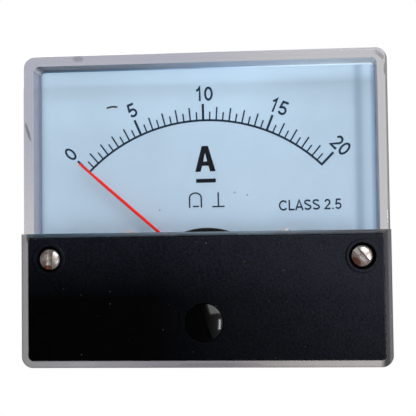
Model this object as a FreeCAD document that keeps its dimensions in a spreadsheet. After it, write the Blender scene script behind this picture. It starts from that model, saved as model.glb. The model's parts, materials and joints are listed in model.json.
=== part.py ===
import FreeCAD, Part
import math
import os
import Sketcher

# Analog panel meter, 70 x 60 mm front, moving-coil movement, all sizes in millimetres.
# Frame: X to the right and Z up as seen from the front, Y towards the back.
# The origin is on the barrel's axis, in the plane where the flange meets the panel.
# "Forward" is the distance in front of that plane, towards the viewer, so forward = -Y.

doc = FreeCAD.newDocument("panel_meter")
dim = doc.addObject("Spreadsheet::Sheet", "dim")

SIZES = [
    # clear cover
    ("face_wide", 70, "width of the cover"),
    ("face_high", 60, "height of the cover"),
    ("face_corner", 2.2, "outer corner radius"),
    ("window_front", 10.6, "window's outer face in front of the panel"),
    ("window_thick", 1.8, "thickness of the window"),
    ("cover_wall", 1.8, "side walls of the cover"),
    ("cover_edge", 0.7, "rounding of the front edges"),
    ("inner_corner", 1.1, "corner radius inside the cover and of the flange"),
    ("plinth_proud", 1.6, "plinth's rim in front of the window"),
    ("plinth_high", 25.5, "height of the plinth"),
    ("plinth_edge", 0.4, "rounding of the plinth's rim"),
    ("rim_side", 1.3, "rim beside and below the black plate"),
    ("rim_top", 0.75, "rim above the black plate"),
    # black plate
    ("plate_fit", 0.08, "gap around the plate"),
    ("plate_corner", 1.0, "corner radius of the plate's recess"),
    ("plate_edge", 0.25, "rounding of the plate's front edge"),
    ("sink_radius", 2.55, "well around each cover screw"),
    ("ring_wide", 0.6, "width of the raised ring around a well"),
    ("ring_proud", 0.3, "height of the raised ring"),
    ("ring_edge", 0.2, "bevel of the raised ring"),
    # every screw
    ("head_side_share", 0.55, "straight side of a screw head, as a share of its height"),
    ("head_flat_share", 0.72, "flat top of a bevelled screw head, as a share of its radius"),
    ("thread_bevel", 0.3, "bevel at the end of a thread"),
    ("slot_past", 0.4, "a slot's cut past the edge of its piece"),
    ("screw_fit", 0.15, "radial gap of a screw in a clearance hole"),
    ("thread_fit", 0.03, "radial gap of a screw in its thread"),
    ("drill_spare", 1.0, "depth of a blind hole past its screw"),
    # cover screws
    ("screw_inset", 5.4, "cover screws from the cover's sides"),
    ("screw_drop", 4.9, "cover screws below the plinth's top"),
    ("cover_head_radius", 1.95, "screw head"),
    ("cover_head_high", 1.4, "screw head, to the top of its dome"),
    ("cover_shank_radius", 1.25, "screw thread"),
    ("cover_shank_long", 7, "screw thread"),
    ("cover_slot_wide", 0.5, "driver slot"),
    ("cover_slot_deep", 0.6, "driver slot"),
    ("cover_lean_left", 4, "turn of the left screw's slot, degrees"),
    ("cover_lean_right", -48, "turn of the right screw's slot, degrees"),
    # zero adjuster
    ("adjuster_drop", 6.7, "adjuster below the pivot"),
    ("adjuster_radius", 3.5, "adjuster's dome"),
    ("adjuster_gap", 0.15, "gap around the dome"),
    ("adjuster_proud", 0.15, "dome's rim in front of the black plate"),
    ("dome_high", 1.0, "height of the dome over its rim"),
    ("adjuster_slot_wide", 0.65, "adjuster's slot"),
    ("adjuster_slot_deep", 0.9, "adjuster's slot"),
    ("adjuster_lean", 18, "lean of the slot from upright, degrees"),
    ("neck_radius", 2.2, "adjuster's neck"),
    ("running_fit", 0.05, "radial gap of a turning shaft"),
    ("lip_grip", 0.5, "snap lip wider than the neck"),
    ("lip_thick", 0.5, "snap lip"),
    ("end_play", 0.1, "play between a turning piece and its seat"),
    ("crank_throw", 1.1, "adjuster's pin off its axis"),
    ("crank_radius", 0.5, "adjuster's pin"),
    # case
    ("flange_thick", 2.6, "case flange"),
    ("flange_fit", 0.15, "gap between the flange and the cover's wall"),
    ("barrel_radius", 25, "case barrel"),
    ("barrel_deep", 32, "barrel behind the panel"),
    ("barrel_wall", 1.8, "barrel's wall"),
    ("back_wall", 2.4, "barrel's back"),
    ("back_bevel", 0.8, "bevel of the barrel's back edge"),
    ("post_radius", 2.9, "posts for the cover screws"),
    ("boss_inset", 2.98, "movement's bosses from the barrel's bore"),
    ("boss_rise", 3.25, "movement's bosses above the pivot"),
    ("boss_radius", 3.1, "movement's bosses"),
    ("collar_radius", 6.4, "raised seat of a terminal"),
    ("collar_high", 1.5, "raised seat of a terminal"),
    # mounting studs
    ("mount_inset_side", 8, "mounting studs from the cover's sides"),
    ("mount_inset_end", 7.5, "mounting studs from the cover's top and bottom"),
    ("mount_radius", 1.5, "mounting stud"),
    ("mount_long", 14, "mounting stud behind the panel plane"),
    ("mount_shoulder_radius", 1.9, "plain shoulder of a mounting stud in the flange"),
    ("mount_head_radius", 2.7, "head of a mounting stud"),
    ("mount_head_high", 1.2, "head of a mounting stud"),
    # dial
    ("dial_stand", 0.4, "dial's back in front of the flange"),
    ("dial_thick", 0.6, "dial"),
    ("dial_fit", 0.3, "gap between the dial and the cover's wall"),
    ("dial_corner", 0.8, "dial's corner radius"),
    ("dial_leg_gap", 1.1, "gap between the dial's legs and the posts"),
    ("dial_foot_rise", 6, "dial's lower end above the cover's bottom"),
    ("cutout_radius", 14, "dial's cut-out over the movement"),
    ("cutout_drop", 2.9, "centre of the cut-out below the pivot"),
    ("dial_screw_apart", 30.6, "distance between the dial screws"),
    ("dial_screw_rise", 9.25, "dial screws above the pivot"),
    ("dial_head_radius", 1.75, "dial screw head"),
    ("dial_head_high", 0.9, "dial screw head"),
    ("dial_shank_radius", 0.9, "dial screw thread"),
    ("dial_shank_long", 4.5, "dial screw thread"),
    ("dial_lean_left", 70, "turn of the left dial screw's slot, degrees"),
    ("dial_lean_right", 35, "turn of the right dial screw's slot, degrees"),
    ("small_slot_wide", 0.4, "slot of the small screws"),
    ("small_slot_deep", 0.45, "slot of the small screws"),
    # pointer
    ("pivot_rise", 15.15, "pivot above the cover's bottom"),
    ("zero_angle", 45.8, "pointer tip left of upright at zero, degrees"),
    ("scale_span", 90, "angle of the scale, degrees"),
    ("pointer_reach", 34.7, "pivot to the pointer's tip"),
    ("pointer_offset", 1.8, "pointer's wire beside the pivot"),
    ("pointer_radius", 0.3, "pointer's wire"),
    ("tip_radius", 0.2, "pointer's tip"),
    ("tip_long", 6.0, "tapered end of the pointer's wire"),
    ("pointer_tail", 2.4, "pointer's wire below the pivot's level"),
    ("pointer_lift", 2.0, "pointer's axis in front of the dial"),
    ("stop_swing", 7, "free swing past each end of the scale, degrees"),
    ("stop_reach", 13, "stop pins along the pointer"),
    ("stop_radius", 0.4, "stop pin"),
    ("stop_bevel", 0.2, "bevel at the stop pin's end"),
    ("stop_high", 3.0, "stop pin in front of the dial"),
    # movement
    ("core_radius", 5, "magnet core"),
    ("core_long", 9, "magnet core and yoke ring"),
    ("air_gap", 2.2, "between the core and the yoke"),
    ("yoke_wall", 3.4, "wall of the yoke ring"),
    ("yoke_gap", 0.75, "yoke ring to the barrel's wall, below the axis"),
    ("yoke_sink", 0.2, "yoke's front behind the dial's back"),
    ("spacer_half", 1.7, "half width of the core's spacers"),
    ("frame_thick", 2, "die-cast frame behind the yoke"),
    ("frame_gap", 0.5, "frame to the barrel's wall"),
    ("lug_half", 2.3, "half width of the frame's lugs above their screws"),
    ("frame_lean_left", 15, "turn of the left frame screw's slot, degrees"),
    ("frame_lean_right", -30, "turn of the right frame screw's slot, degrees"),
    ("dial_post_radius", 2.3, "frame's posts under the dial"),
    ("coil_clear", 0.4, "coil former to the core"),
    ("former_thick", 0.25, "coil former"),
    ("former_wide", 2.4, "coil former across its sides"),
    ("former_corner", 0.08, "inner corner radius of the coil former"),
    ("winding_thick", 0.65, "winding on the former"),
    ("winding_wide", 1.8, "winding across its sides"),
    ("pivot_foot_radius", 1.5, "foot of a pivot on the coil"),
    ("pivot_foot_thick", 0.35, "foot of a pivot on the coil"),
    ("pivot_radius", 0.4, "pivot's shaft"),
    ("pivot_cone", 0.5, "pivot's pointed end"),
    ("hub_radius", 1.1, "hub of the pointer carrier"),
    ("strap_long", 3.4, "carrier's strap above the pivot"),
    ("arm_radius", 0.3, "carrier's balance arms"),
    ("tail_long", 6.2, "carrier's tail"),
    ("side_arm_long", 5.0, "carrier's side arms"),
    ("tail_weight_radius", 1.0, "balance weight on the tail"),
    ("tail_weight_long", 2.2, "balance weight on the tail"),
    ("side_weight_radius", 0.75, "balance weight on a side arm"),
    ("side_weight_long", 1.3, "balance weight on a side arm"),
    # hairsprings
    ("spring_turns", 3, "turns of a hairspring"),
    ("spring_pitch", 0.95, "space between its turns"),
    ("spring_ribbon", 0.12, "thickness of its ribbon"),
    ("spring_high", 0.35, "height of its ribbon"),
    ("spring_lift", 0.55, "pointer's axis to the front hairspring"),
    # bridges and jewel screws
    ("bridge_lift", 0.45, "front hairspring to the bridge"),
    ("bridge_thick", 0.6, "bridge"),
    ("bridge_wide", 5, "bridge"),
    ("bridge_half", 7.0, "half span of the front bridge's hat"),
    ("bridge_foot_half", 10.2, "half span over the front bridge's feet"),
    ("rear_bridge_gap", 1.4, "frame to the rear bridge"),
    ("rear_bridge_half", 7.6, "half span of the rear bridge's hat"),
    ("rear_foot_half", 11.0, "half span over the rear bridge's feet"),
    ("foot_screw_half", 8.9, "bridge screws from the pivot"),
    ("foot_head_radius", 1.15, "bridge screw head"),
    ("foot_head_high", 0.7, "bridge screw head"),
    ("foot_shank_radius", 0.6, "bridge screw thread"),
    ("foot_shank_long", 2.5, "bridge screw thread"),
    ("foot_lean", 25, "turn of the front bridge screws' slots, degrees"),
    ("jewel_radius", 1.0, "jewel screw thread"),
    ("jewel_head_radius", 1.9, "front jewel screw head"),
    ("jewel_head_high", 0.4, "front jewel screw head"),
    ("jewel_slot_deep", 0.2, "slot of the front jewel screw"),
    ("jewel_past", 0.35, "jewel screw past the inner face of its bridge"),
    ("cup_radius", 0.6, "jewel's cup"),
    ("cup_deep", 0.7, "jewel's cup"),
    ("nut_radius", 1.6, "jewel screw's lock nut"),
    ("rear_nut_high", 0.9, "rear lock nut"),
    ("rear_screw_past", 0.9, "rear jewel screw past its lock nut"),
    # zero lever
    ("lever_thick", 0.4, "zero lever"),
    ("lever_ring_wide", 1.1, "lever's ring around the lock nut"),
    ("lever_ease", 0.05, "lever's gap to the bridge and to the jewel screw's head"),
    ("fork_fit", 0.1, "gap between the fork and the adjuster's pin"),
    ("tine_wide", 0.6, "tine of the fork"),
    ("fork_past", 1.0, "fork past the pin's furthest place"),
    ("tab_half", 0.7, "half width of the spring tab"),
    ("tab_thick", 0.6, "spring tab"),
    # terminals
    ("stud_inset", 13, "terminals from the barrel's side"),
    ("stud_radius", 2, "terminal stud"),
    ("stud_long", 13, "terminal stud behind the barrel's back"),
    ("stud_head_radius", 4.2, "stud's head inside the case"),
    ("stud_head_high", 2, "stud's head inside the case"),
    ("washer_radius", 4.5, "flat washer"),
    ("washer_thick", 0.8, "flat washer"),
    ("nut_across", 7, "terminal nut across its flats"),
    ("nut_high", 3.2, "terminal nut"),
    ("nut_bevel_wide", 0.68, "turned-off corner of a terminal nut"),
    ("nut_bevel_high", 0.34, "turned-off corner of a terminal nut"),
    ("lock_washer_radius", 3.6, "spring washer"),
    ("lock_washer_thick", 0.9, "spring washer"),
    ("lock_washer_split", 0.8, "gap of the spring washer"),
    ("tag_thick", 0.5, "solder tag"),
    ("tag_reach", 12, "solder tag from the stud's axis"),
    ("tag_wide", 4.0, "solder tag's tail"),
    ("tag_end_wide", 2.4, "solder tag's end"),
    ("tag_eye_radius", 0.9, "solder tag's eye"),
    # shunt and leads
    ("shunt_thick", 1.0, "shunt strip"),
    ("shunt_wide", 9, "shunt strip"),
    ("shunt_corner", 1.8, "corner radius of the shunt strip"),
    ("shunt_notch_wide", 2.2, "calibration notch in the shunt"),
    ("shunt_notch_deep", 3.2, "calibration notch in the shunt"),
    ("lead_radius", 0.7, "insulated lead"),
    ("lead_bend", 1.75, "lead's bend radius"),
    ("resistor_lift", 1.0, "bare lead below the resistor"),
    ("resistor_radius", 1.6, "series resistor"),
    ("resistor_long", 6.0, "series resistor"),
    ("resistor_band", 0.9, "resistor's end caps"),
    ("resistor_swell", 0.2, "end caps wider than the body"),
]
for row, (name, number, note) in enumerate(SIZES, start=1):
    dim.set(f"A{row}", name)
    dim.set(f"B{row}", str(number))
    dim.setAlias(f"B{row}", name)
    dim.set(f"C{row}", note)
doc.recompute()

# Radii of the movement and of the barrel around it
YOKE_BORE = "(dim.core_radius + dim.air_gap)"
YOKE_RADIUS = f"({YOKE_BORE} + dim.yoke_wall)"
BARREL_BORE = "(dim.barrel_radius - dim.barrel_wall)"
FORMER_HALF_IN = "(dim.core_radius + dim.coil_clear)"
SPRING_START = "(dim.hub_radius + dim.running_fit + dim.spring_ribbon / 2)"
SPRING_END = f"({SPRING_START} + dim.spring_pitch * dim.spring_turns)"
TAB_START = f"({SPRING_END} + dim.spring_ribbon / 2)"
TAB_END = f"({TAB_START} + dim.tab_thick)"

# Places across the meter and heights above the barrel's axis. The yoke sits low in the
# barrel, and the cover takes its height from the pivot.
PIVOT_Z = f"({YOKE_RADIUS} + dim.yoke_gap - {BARREL_BORE})"
FACE_LEFT = "(-dim.face_wide / 2)"
FACE_RIGHT = "(dim.face_wide / 2)"
FACE_BOTTOM = f"({PIVOT_Z} - dim.pivot_rise)"
FACE_TOP = f"({FACE_BOTTOM} + dim.face_high)"
PLINTH_TOP = f"({FACE_BOTTOM} + dim.plinth_high)"
MOUNT_X = "(dim.face_wide / 2 - dim.mount_inset_side)"
MOUNT_LOW_Z = f"({FACE_BOTTOM} + dim.mount_inset_end)"
MOUNT_HIGH_Z = f"({FACE_TOP} - dim.mount_inset_end)"
SCREW_X = "(dim.face_wide / 2 - dim.screw_inset)"
SCREW_Z = f"({PLINTH_TOP} - dim.screw_drop)"
ADJUSTER_Z = f"({PIVOT_Z} - dim.adjuster_drop)"
CUTOUT_Z = f"({PIVOT_Z} - dim.cutout_drop)"
DIAL_SCREW_X = "(dim.dial_screw_apart / 2)"
DIAL_SCREW_Z = f"({PIVOT_Z} + dim.dial_screw_rise)"
BOSS_Z = f"({PIVOT_Z} + dim.boss_rise)"
BOSS_X = f"sqrt(({BARREL_BORE} - dim.boss_inset)^2 - {BOSS_Z}^2)"
STUD_X = "(dim.barrel_radius - dim.stud_inset)"

# Distances in front of the panel plane
PLINTH_FRONT = "(dim.window_front + dim.plinth_proud)"
COVER_INSIDE = "(dim.window_front - dim.window_thick)"
DIAL_BACK = "(dim.flange_thick + dim.dial_stand)"
DIAL_FRONT = f"({DIAL_BACK} + dim.dial_thick)"
POINTER_FORWARD = f"({DIAL_FRONT} + dim.pointer_lift)"
STOP_FRONT = f"({DIAL_FRONT} + dim.stop_high)"
YOKE_FRONT = f"({DIAL_BACK} - dim.yoke_sink)"
YOKE_BACK = f"({YOKE_FRONT} - dim.core_long)"
FRAME_BACK = f"({YOKE_BACK} - dim.frame_thick)"
BORE_BACK = "(dim.back_wall - dim.barrel_deep)"
FORMER_FRONT_IN = f"({YOKE_FRONT} + dim.coil_clear)"
FORMER_BACK_IN = f"({YOKE_BACK} - dim.coil_clear)"
COIL_BUILD = "(dim.former_thick + dim.winding_thick)"
COIL_FRONT = f"({FORMER_FRONT_IN} + {COIL_BUILD})"
COIL_BACK = f"({FORMER_BACK_IN} - {COIL_BUILD})"
SPRING_BACK_FACE = f"({POINTER_FORWARD} + dim.spring_lift - dim.spring_high / 2)"
SPRING_FRONT_FACE = f"({SPRING_BACK_FACE} + dim.spring_high)"
BRIDGE_BACK = f"({SPRING_FRONT_FACE} + dim.bridge_lift)"
BRIDGE_FRONT = f"({BRIDGE_BACK} + dim.bridge_thick)"
LEVER_BACK = f"({BRIDGE_FRONT} + dim.lever_ease)"
LEVER_FRONT = f"({LEVER_BACK} + dim.lever_thick)"
JEWEL_SEAT = f"({LEVER_FRONT} + dim.lever_ease)"
FRONT_CUP = f"({BRIDGE_BACK} - dim.jewel_past)"
REAR_BRIDGE_FRONT = f"({FRAME_BACK} - dim.rear_bridge_gap)"
REAR_BRIDGE_BACK = f"({REAR_BRIDGE_FRONT} - dim.bridge_thick)"
REAR_CUP = f"({REAR_BRIDGE_FRONT} + dim.jewel_past)"
REAR_SPRING_FRONT = f"({COIL_BACK} - dim.pivot_foot_thick - dim.end_play)"
REAR_SPRING_BACK = f"({REAR_SPRING_FRONT} - dim.spring_high)"
LIP_FRONT = f"({COVER_INSIDE} - dim.end_play)"
LIP_BACK = f"({LIP_FRONT} - dim.lip_thick)"
HUB_BACK = f"({COIL_FRONT} + dim.pivot_foot_thick)"
STRAP_FRONT = f"({POINTER_FORWARD} - dim.pointer_radius)"
ARM_FORWARD = f"(({HUB_BACK} + {STRAP_FRONT}) / 2)"
SHUNT_FRONT = f"({BORE_BACK} + dim.shunt_thick)"
STUD_HEAD_FRONT = f"({SHUNT_FRONT} + dim.stud_head_high)"

# Terminals, outward from the barrel's back: seat, washer, nut, tag, washer, spring washer, nut
TERMINAL_SEAT = "(-dim.barrel_deep - dim.collar_high)"
FIRST_NUT = f"({TERMINAL_SEAT} - dim.washer_thick)"
TAG_FACE = f"({FIRST_NUT} - dim.nut_high)"
OUTER_WASHER = f"({TAG_FACE} - dim.tag_thick)"
LOCK_WASHER = f"({OUTER_WASHER} - dim.washer_thick)"
OUTER_NUT = f"({LOCK_WASHER} - dim.lock_washer_thick)"
STUD_END = "(-dim.barrel_deep - dim.stud_long)"

# The pointer's wire passes beside the pivot, so it leans further than its tip does
WIRE_LEAN = "(dim.zero_angle * 1 deg + asin(dim.pointer_offset / dim.pointer_reach))"
REST_TURN = f"(-{WIRE_LEAN})"

# Two places closer than this, in millimetres, are the same
SAME = 1e-6

# The sketch's own x axis, whose start is the origin, and the numbered points of an edge
AXIS = -1
START = 1
END = 2
CENTRE = 3


def value(expression):
    """Return the number that an expression of the sheet gives."""
    result = dim.evalExpression(expression)
    return float(getattr(result, "Value", result))


def hold(sketch, constraint, expression):
    """Add a constraint whose size follows an expression of the sheet."""
    index = sketch.addConstraint(constraint)
    sketch.setExpression(f"Constraints[{index}]", expression)


def new_body(name, x="0", z="0", turn="0"):
    """Start a body at x, z, turned about the Y axis."""
    body = doc.addObject("PartDesign::Body", name)
    body.Label = name
    body.Placement = FreeCAD.Placement(
        FreeCAD.Vector(0, 0, 0), FreeCAD.Rotation(FreeCAD.Vector(0, 1, 0), 1)
    )
    body.setExpression("Placement.Base.x", x)
    body.setExpression("Placement.Base.z", z)
    body.setExpression("Placement.Rotation.Angle", turn)
    return body


def attached(body, kind, name, plane, offset):
    """Start an object on one of the body's own planes, at an offset along its normal."""
    made = body.newObject(kind, f"{body.Name}_{name}")
    planes = [item for item in body.Origin.OriginFeatures if item.Role == plane]
    made.AttachmentSupport = [(planes[0], "")]
    made.MapMode = "FlatFace"
    made.setExpression("AttachmentOffset.Base.z", offset)
    return made


def new_sketch(body, name, offset="0", plane="XZ_Plane"):
    """Start a sketch; on the XZ plane its offset runs forward."""
    return attached(body, "Sketcher::SketchObject", name, plane, offset)


def both_sides(x, z="0"):
    """Return a place left of the centre and its mirror place."""
    return [(f"-{x}", z), (x, z)]


def outline(sketch, corners):
    """Close a loop through the corners.

    A corner is (x, y), or (x, y, radius, side) where the edge that leaves it is an arc
    whose centre is on the left (1) or on the right (-1) of the way to the next corner.
    """
    points = [FreeCAD.Vector(value(c[0]), value(c[1]), 0) for c in corners]
    first = sketch.GeometryCount
    starts = []
    for index, corner in enumerate(corners):
        start = points[index]
        end = points[(index + 1) % len(points)]
        if len(corner) == 2:
            sketch.addGeometry(Part.LineSegment(start, end), False)
            starts.append(START)
            continue
        radius = value(corner[2])
        half = (end - start) * 0.5
        rise = math.sqrt(max(radius ** 2 - half.Length ** 2, 0))
        normal = FreeCAD.Vector(-half.y, half.x, 0).normalize()
        centre = start + half + normal * rise * corner[3]
        ends = (start, end) if corner[3] > 0 else (end, start)
        angles = [math.atan2(p.y - centre.y, p.x - centre.x) for p in ends]
        circle = Part.Circle(centre, FreeCAD.Vector(0, 0, 1), radius)
        sketch.addGeometry(Part.ArcOfCircle(circle, angles[0], angles[1]), False)
        starts.append(START if corner[3] > 0 else END)
    for index, corner in enumerate(corners):
        edge = first + index
        before = (index - 1) % len(corners)
        last = END if starts[before] == START else START
        start = starts[index]
        sketch.addConstraint(
            Sketcher.Constraint("Coincident", first + before, last, edge, start)
        )
        at = points[index]
        hold(sketch, Sketcher.Constraint("DistanceX", AXIS, START, edge, start, at.x), corner[0])
        hold(sketch, Sketcher.Constraint("DistanceY", AXIS, START, edge, start, at.y), corner[1])
        if len(corner) == 4:
            hold(sketch, Sketcher.Constraint("Radius", edge, value(corner[2])), corner[2])


def circle(sketch, radius, x="0", y="0"):
    """Add a full circle."""
    centre = FreeCAD.Vector(value(x), value(y), 0)
    index = sketch.GeometryCount
    sketch.addGeometry(Part.Circle(centre, FreeCAD.Vector(0, 0, 1), value(radius)), False)
    hold(sketch, Sketcher.Constraint("DistanceX", AXIS, START, index, CENTRE, centre.x), x)
    hold(sketch, Sketcher.Constraint("DistanceY", AXIS, START, index, CENTRE, centre.y), y)
    hold(sketch, Sketcher.Constraint("Radius", index, value(radius)), radius)


def box_corners(left, right, bottom, top):
    """Corners of a plain rectangle."""
    return [(left, bottom), (right, bottom), (right, top), (left, top)]


def rounded_corners(left, right, bottom, top, radius):
    """Corners of a rectangle with four equal arcs."""
    return [
        (f"{left} + {radius}", bottom),
        (f"{right} - {radius}", bottom, radius, 1),
        (right, f"{bottom} + {radius}"),
        (right, f"{top} - {radius}", radius, 1),
        (f"{right} - {radius}", top),
        (f"{left} + {radius}", top, radius, 1),
        (left, f"{top} - {radius}"),
        (left, f"{bottom} + {radius}", radius, 1),
    ]


def feature(kind, sketch):
    """Start a feature on the sketch's body, from that sketch."""
    body = sketch.getParentGeoFeatureGroup()
    made = body.newObject(f"PartDesign::{kind}", f"{sketch.Name}_{kind}")
    made.Profile = sketch
    return made


def pad(sketch, length, backward=False, midplane=False):
    """Add material in front of the sketch, or behind it, or to both sides."""
    made = feature("Pad", sketch)
    made.setExpression("Length", length)
    made.Reversed = backward
    made.Midplane = midplane
    return made


def pocket(sketch, depth, forward=False):
    """Cut from the sketch to the back, or to the front; the cut has to remove something."""
    body = sketch.getParentGeoFeatureGroup()
    doc.recompute()
    before = body.Shape.Volume
    made = feature("Pocket", sketch)
    made.setExpression("Length", depth)
    made.Reversed = forward
    doc.recompute()
    if body.Shape.Volume >= before:
        raise RuntimeError(f"{made.Name} cuts nothing")
    return made


def turned(body, name, profile, kind="Revolution"):
    """Turn a profile of (forward, radius) corners about the body's own Y axis."""
    sketch = new_sketch(body, name, plane="YZ_Plane")
    corners = []
    for forward, radius, *arc in profile:
        # The sketch's x runs backward, so the two sides of an arc change places
        bend = (arc[0], -arc[1]) if arc else ()
        corners.append((f"-({forward})", radius, *bend))
    outline(sketch, corners)
    made = feature(kind, sketch)
    made.ReferenceAxis = (sketch, ["H_Axis"])
    made.Angle = 360
    return made


def drilled(body, name, radius, start, depth, places):
    """Drill round holes backward from a plane."""
    sketch = new_sketch(body, name, start)
    for x, z in places:
        circle(sketch, radius, x, z)
    return pocket(sketch, depth)


def eased_edges(kind, size, base, width, chosen):
    """Change the edges of a feature that a test picks, by a width held in the named size."""
    doc.recompute()
    names = [f"Edge{i}" for i, edge in enumerate(base.Shape.Edges, start=1) if chosen(edge)]
    body = base.getParentGeoFeatureGroup()
    made = body.newObject(f"PartDesign::{kind}", f"{base.Name}_{kind}")
    made.Base = (base, names)
    made.setExpression(size, width)
    return made


def round_edges(base, radius, chosen):
    """Round the edges of a feature that a test picks."""
    return eased_edges("Fillet", "Radius", base, radius, chosen)


def bevel_edges(base, width, chosen):
    """Bevel the edges of a feature that a test picks."""
    return eased_edges("Chamfer", "Size", base, width, chosen)


def lies_at(edge, forward):
    """Tell whether an edge lies flat at a distance in front of the panel plane."""
    box = edge.BoundBox
    return abs(box.YMin + forward) < SAME and abs(box.YMax + forward) < SAME


def group(name, members):
    """Join the separate solids of like pieces under one name."""
    made = doc.addObject("Part::Compound", name)
    made.Label = name
    made.Links = members
    return made


def solid(name, shape):
    """Hold a shape that is worked out from the sheet's values."""
    made = doc.addObject("Part::Feature", name)
    made.Label = name
    made.Shape = shape
    return made


def driver_slot(body, face, wide, deep, radius, forward=False):
    """Cut a straight slot across a round head."""
    cut = new_sketch(body, "slot", face)
    reach = f"({radius} + dim.slot_past)"
    outline(cut, box_corners(f"-{wide} / 2", f"{wide} / 2", f"-{reach}", reach))
    pocket(cut, deep, forward)


def slotted_screw(name, x, z, seat, size, slot, lean="0", way="+", head="bevelled"):
    """Make a slotted screw; its head looks forward from its seat (+) or backward (-).

    The size and the slot are the first words of their names in the sheet. The head is
    domed, bevelled around a flat top, or plain.
    """
    head_radius = f"dim.{size}_head_radius"
    head_high = f"dim.{size}_head_high"
    shank_radius = f"dim.{size}_shank_radius"
    body = new_body(name, x, z, lean)
    under = "-" if way == "+" else "+"
    side = f"({head_high} * dim.head_side_share)"
    cap = f"({head_high} - {side})"
    dome = f"(({head_radius}^2 + {cap}^2) / (2 * {cap}))"
    end = f"({seat} {under} dim.{size}_shank_long)"
    crown = f"({seat} {way} {head_high})"
    rim = f"{seat} {way} {side}"
    tops = {
        "domed": [(rim, head_radius, dome, 1 if way == "+" else -1)],
        "bevelled": [(rim, head_radius), (crown, f"{head_radius} * dim.head_flat_share")],
        "plain": [(crown, head_radius)],
    }
    turned(body, "profile", [
        (end, "0"),
        (end, shank_radius),
        (seat, shank_radius),
        (seat, head_radius),
        *tops[head],
        (crown, "0"),
    ])
    driver_slot(body, crown, f"dim.{slot}_slot_wide", f"dim.{slot}_slot_deep", head_radius, way == "-")
    return body


def screw_pair(name, x, z, seat, size, slot, leans, way="+", head="bevelled"):
    """Make a screw on either side of the centre, each with its own turn of the slot."""
    return [
        slotted_screw(f"{name}_left", f"-{x}", z, seat, size, slot, leans[0], way, head),
        slotted_screw(f"{name}_right", x, z, seat, size, slot, leans[1], way, head),
    ]


def clear_cover():
    """Clear moulding: a window, side walls back to the panel, and a rimmed plinth below."""
    body = new_body("clear_cover")
    face = new_sketch(body, "face")
    outline(face, rounded_corners(FACE_LEFT, FACE_RIGHT, FACE_BOTTOM, FACE_TOP, "dim.face_corner"))
    pad(face, "dim.window_front")
    plinth = new_sketch(body, "plinth")
    outline(plinth, [
        (f"{FACE_LEFT} + dim.face_corner", FACE_BOTTOM),
        (f"{FACE_RIGHT} - dim.face_corner", FACE_BOTTOM, "dim.face_corner", 1),
        (FACE_RIGHT, f"{FACE_BOTTOM} + dim.face_corner"),
        (FACE_RIGHT, PLINTH_TOP),
        (FACE_LEFT, PLINTH_TOP),
        (FACE_LEFT, f"{FACE_BOTTOM} + dim.face_corner", "dim.face_corner", 1),
    ])
    step = pad(plinth, PLINTH_FRONT)
    rim = round_edges(step, "dim.plinth_edge", lambda edge: lies_at(edge, value(PLINTH_FRONT)))
    above = value(f"{PLINTH_TOP} + dim.plinth_edge")
    round_edges(rim, "dim.cover_edge", lambda edge: (
        lies_at(edge, value("dim.window_front")) and edge.CenterOfMass.z > above))
    inside = new_sketch(body, "inside")
    wall = "dim.cover_wall"
    outline(inside, rounded_corners(
        f"{FACE_LEFT} + {wall}", f"{FACE_RIGHT} - {wall}",
        f"{FACE_BOTTOM} + {wall}", f"{FACE_TOP} - {wall}", "dim.inner_corner"))
    pocket(inside, COVER_INSIDE, forward=True)
    recess = new_sketch(body, "recess", PLINTH_FRONT)
    outline(recess, rounded_corners(
        f"{FACE_LEFT} + dim.rim_side", f"{FACE_RIGHT} - dim.rim_side",
        f"{FACE_BOTTOM} + dim.rim_side", f"{PLINTH_TOP} - dim.rim_top", "dim.plate_corner"))
    pocket(recess, "dim.plinth_proud")
    drilled(body, "screw_holes", "(dim.cover_shank_radius + dim.screw_fit)", "dim.window_front",
            "dim.window_thick", both_sides(SCREW_X, SCREW_Z))
    drilled(body, "adjuster_hole", "(dim.neck_radius + dim.running_fit)", "dim.window_front",
            "dim.window_thick", [("0", ADJUSTER_Z)])
    return body


def front_plate():
    """Black plate in the plinth's recess, with a raised ring around each screw well."""
    body = new_body("front_plate")
    face = new_sketch(body, "face", "dim.window_front")
    side = "(dim.rim_side + dim.plate_fit)"
    outline(face, rounded_corners(
        f"{FACE_LEFT} + {side}", f"{FACE_RIGHT} - {side}", f"{FACE_BOTTOM} + {side}",
        f"{PLINTH_TOP} - dim.rim_top - dim.plate_fit", "(dim.plate_corner - dim.plate_fit)"))
    slab = pad(face, "dim.plinth_proud")
    round_edges(slab, "dim.plate_edge", lambda edge: lies_at(edge, value(PLINTH_FRONT)))
    places = both_sides(SCREW_X, SCREW_Z)
    rings = new_sketch(body, "rings", "dim.window_front")
    for x, z in places:
        circle(rings, "(dim.sink_radius + dim.ring_wide)", x, z)
    raised = pad(rings, "(dim.plinth_proud + dim.ring_proud)")
    crown = value(f"{PLINTH_FRONT} + dim.ring_proud")
    bevel_edges(raised, "dim.ring_edge", lambda edge: lies_at(edge, crown))
    drilled(body, "wells", "dim.sink_radius", f"{PLINTH_FRONT} + dim.ring_proud",
            "(dim.plinth_proud + dim.ring_proud)", places)
    drilled(body, "adjuster_hole", "(dim.adjuster_radius + dim.adjuster_gap)", PLINTH_FRONT,
            "dim.plinth_proud", [("0", ADJUSTER_Z)])
    return body


def cover_screws():
    """Two screws that hold the cover and the black plate to the case."""
    return group("cover_screws", screw_pair(
        "cover_screw", SCREW_X, SCREW_Z, "dim.window_front", "cover", "cover",
        ("dim.cover_lean_left", "dim.cover_lean_right"), head="domed"))


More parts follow.
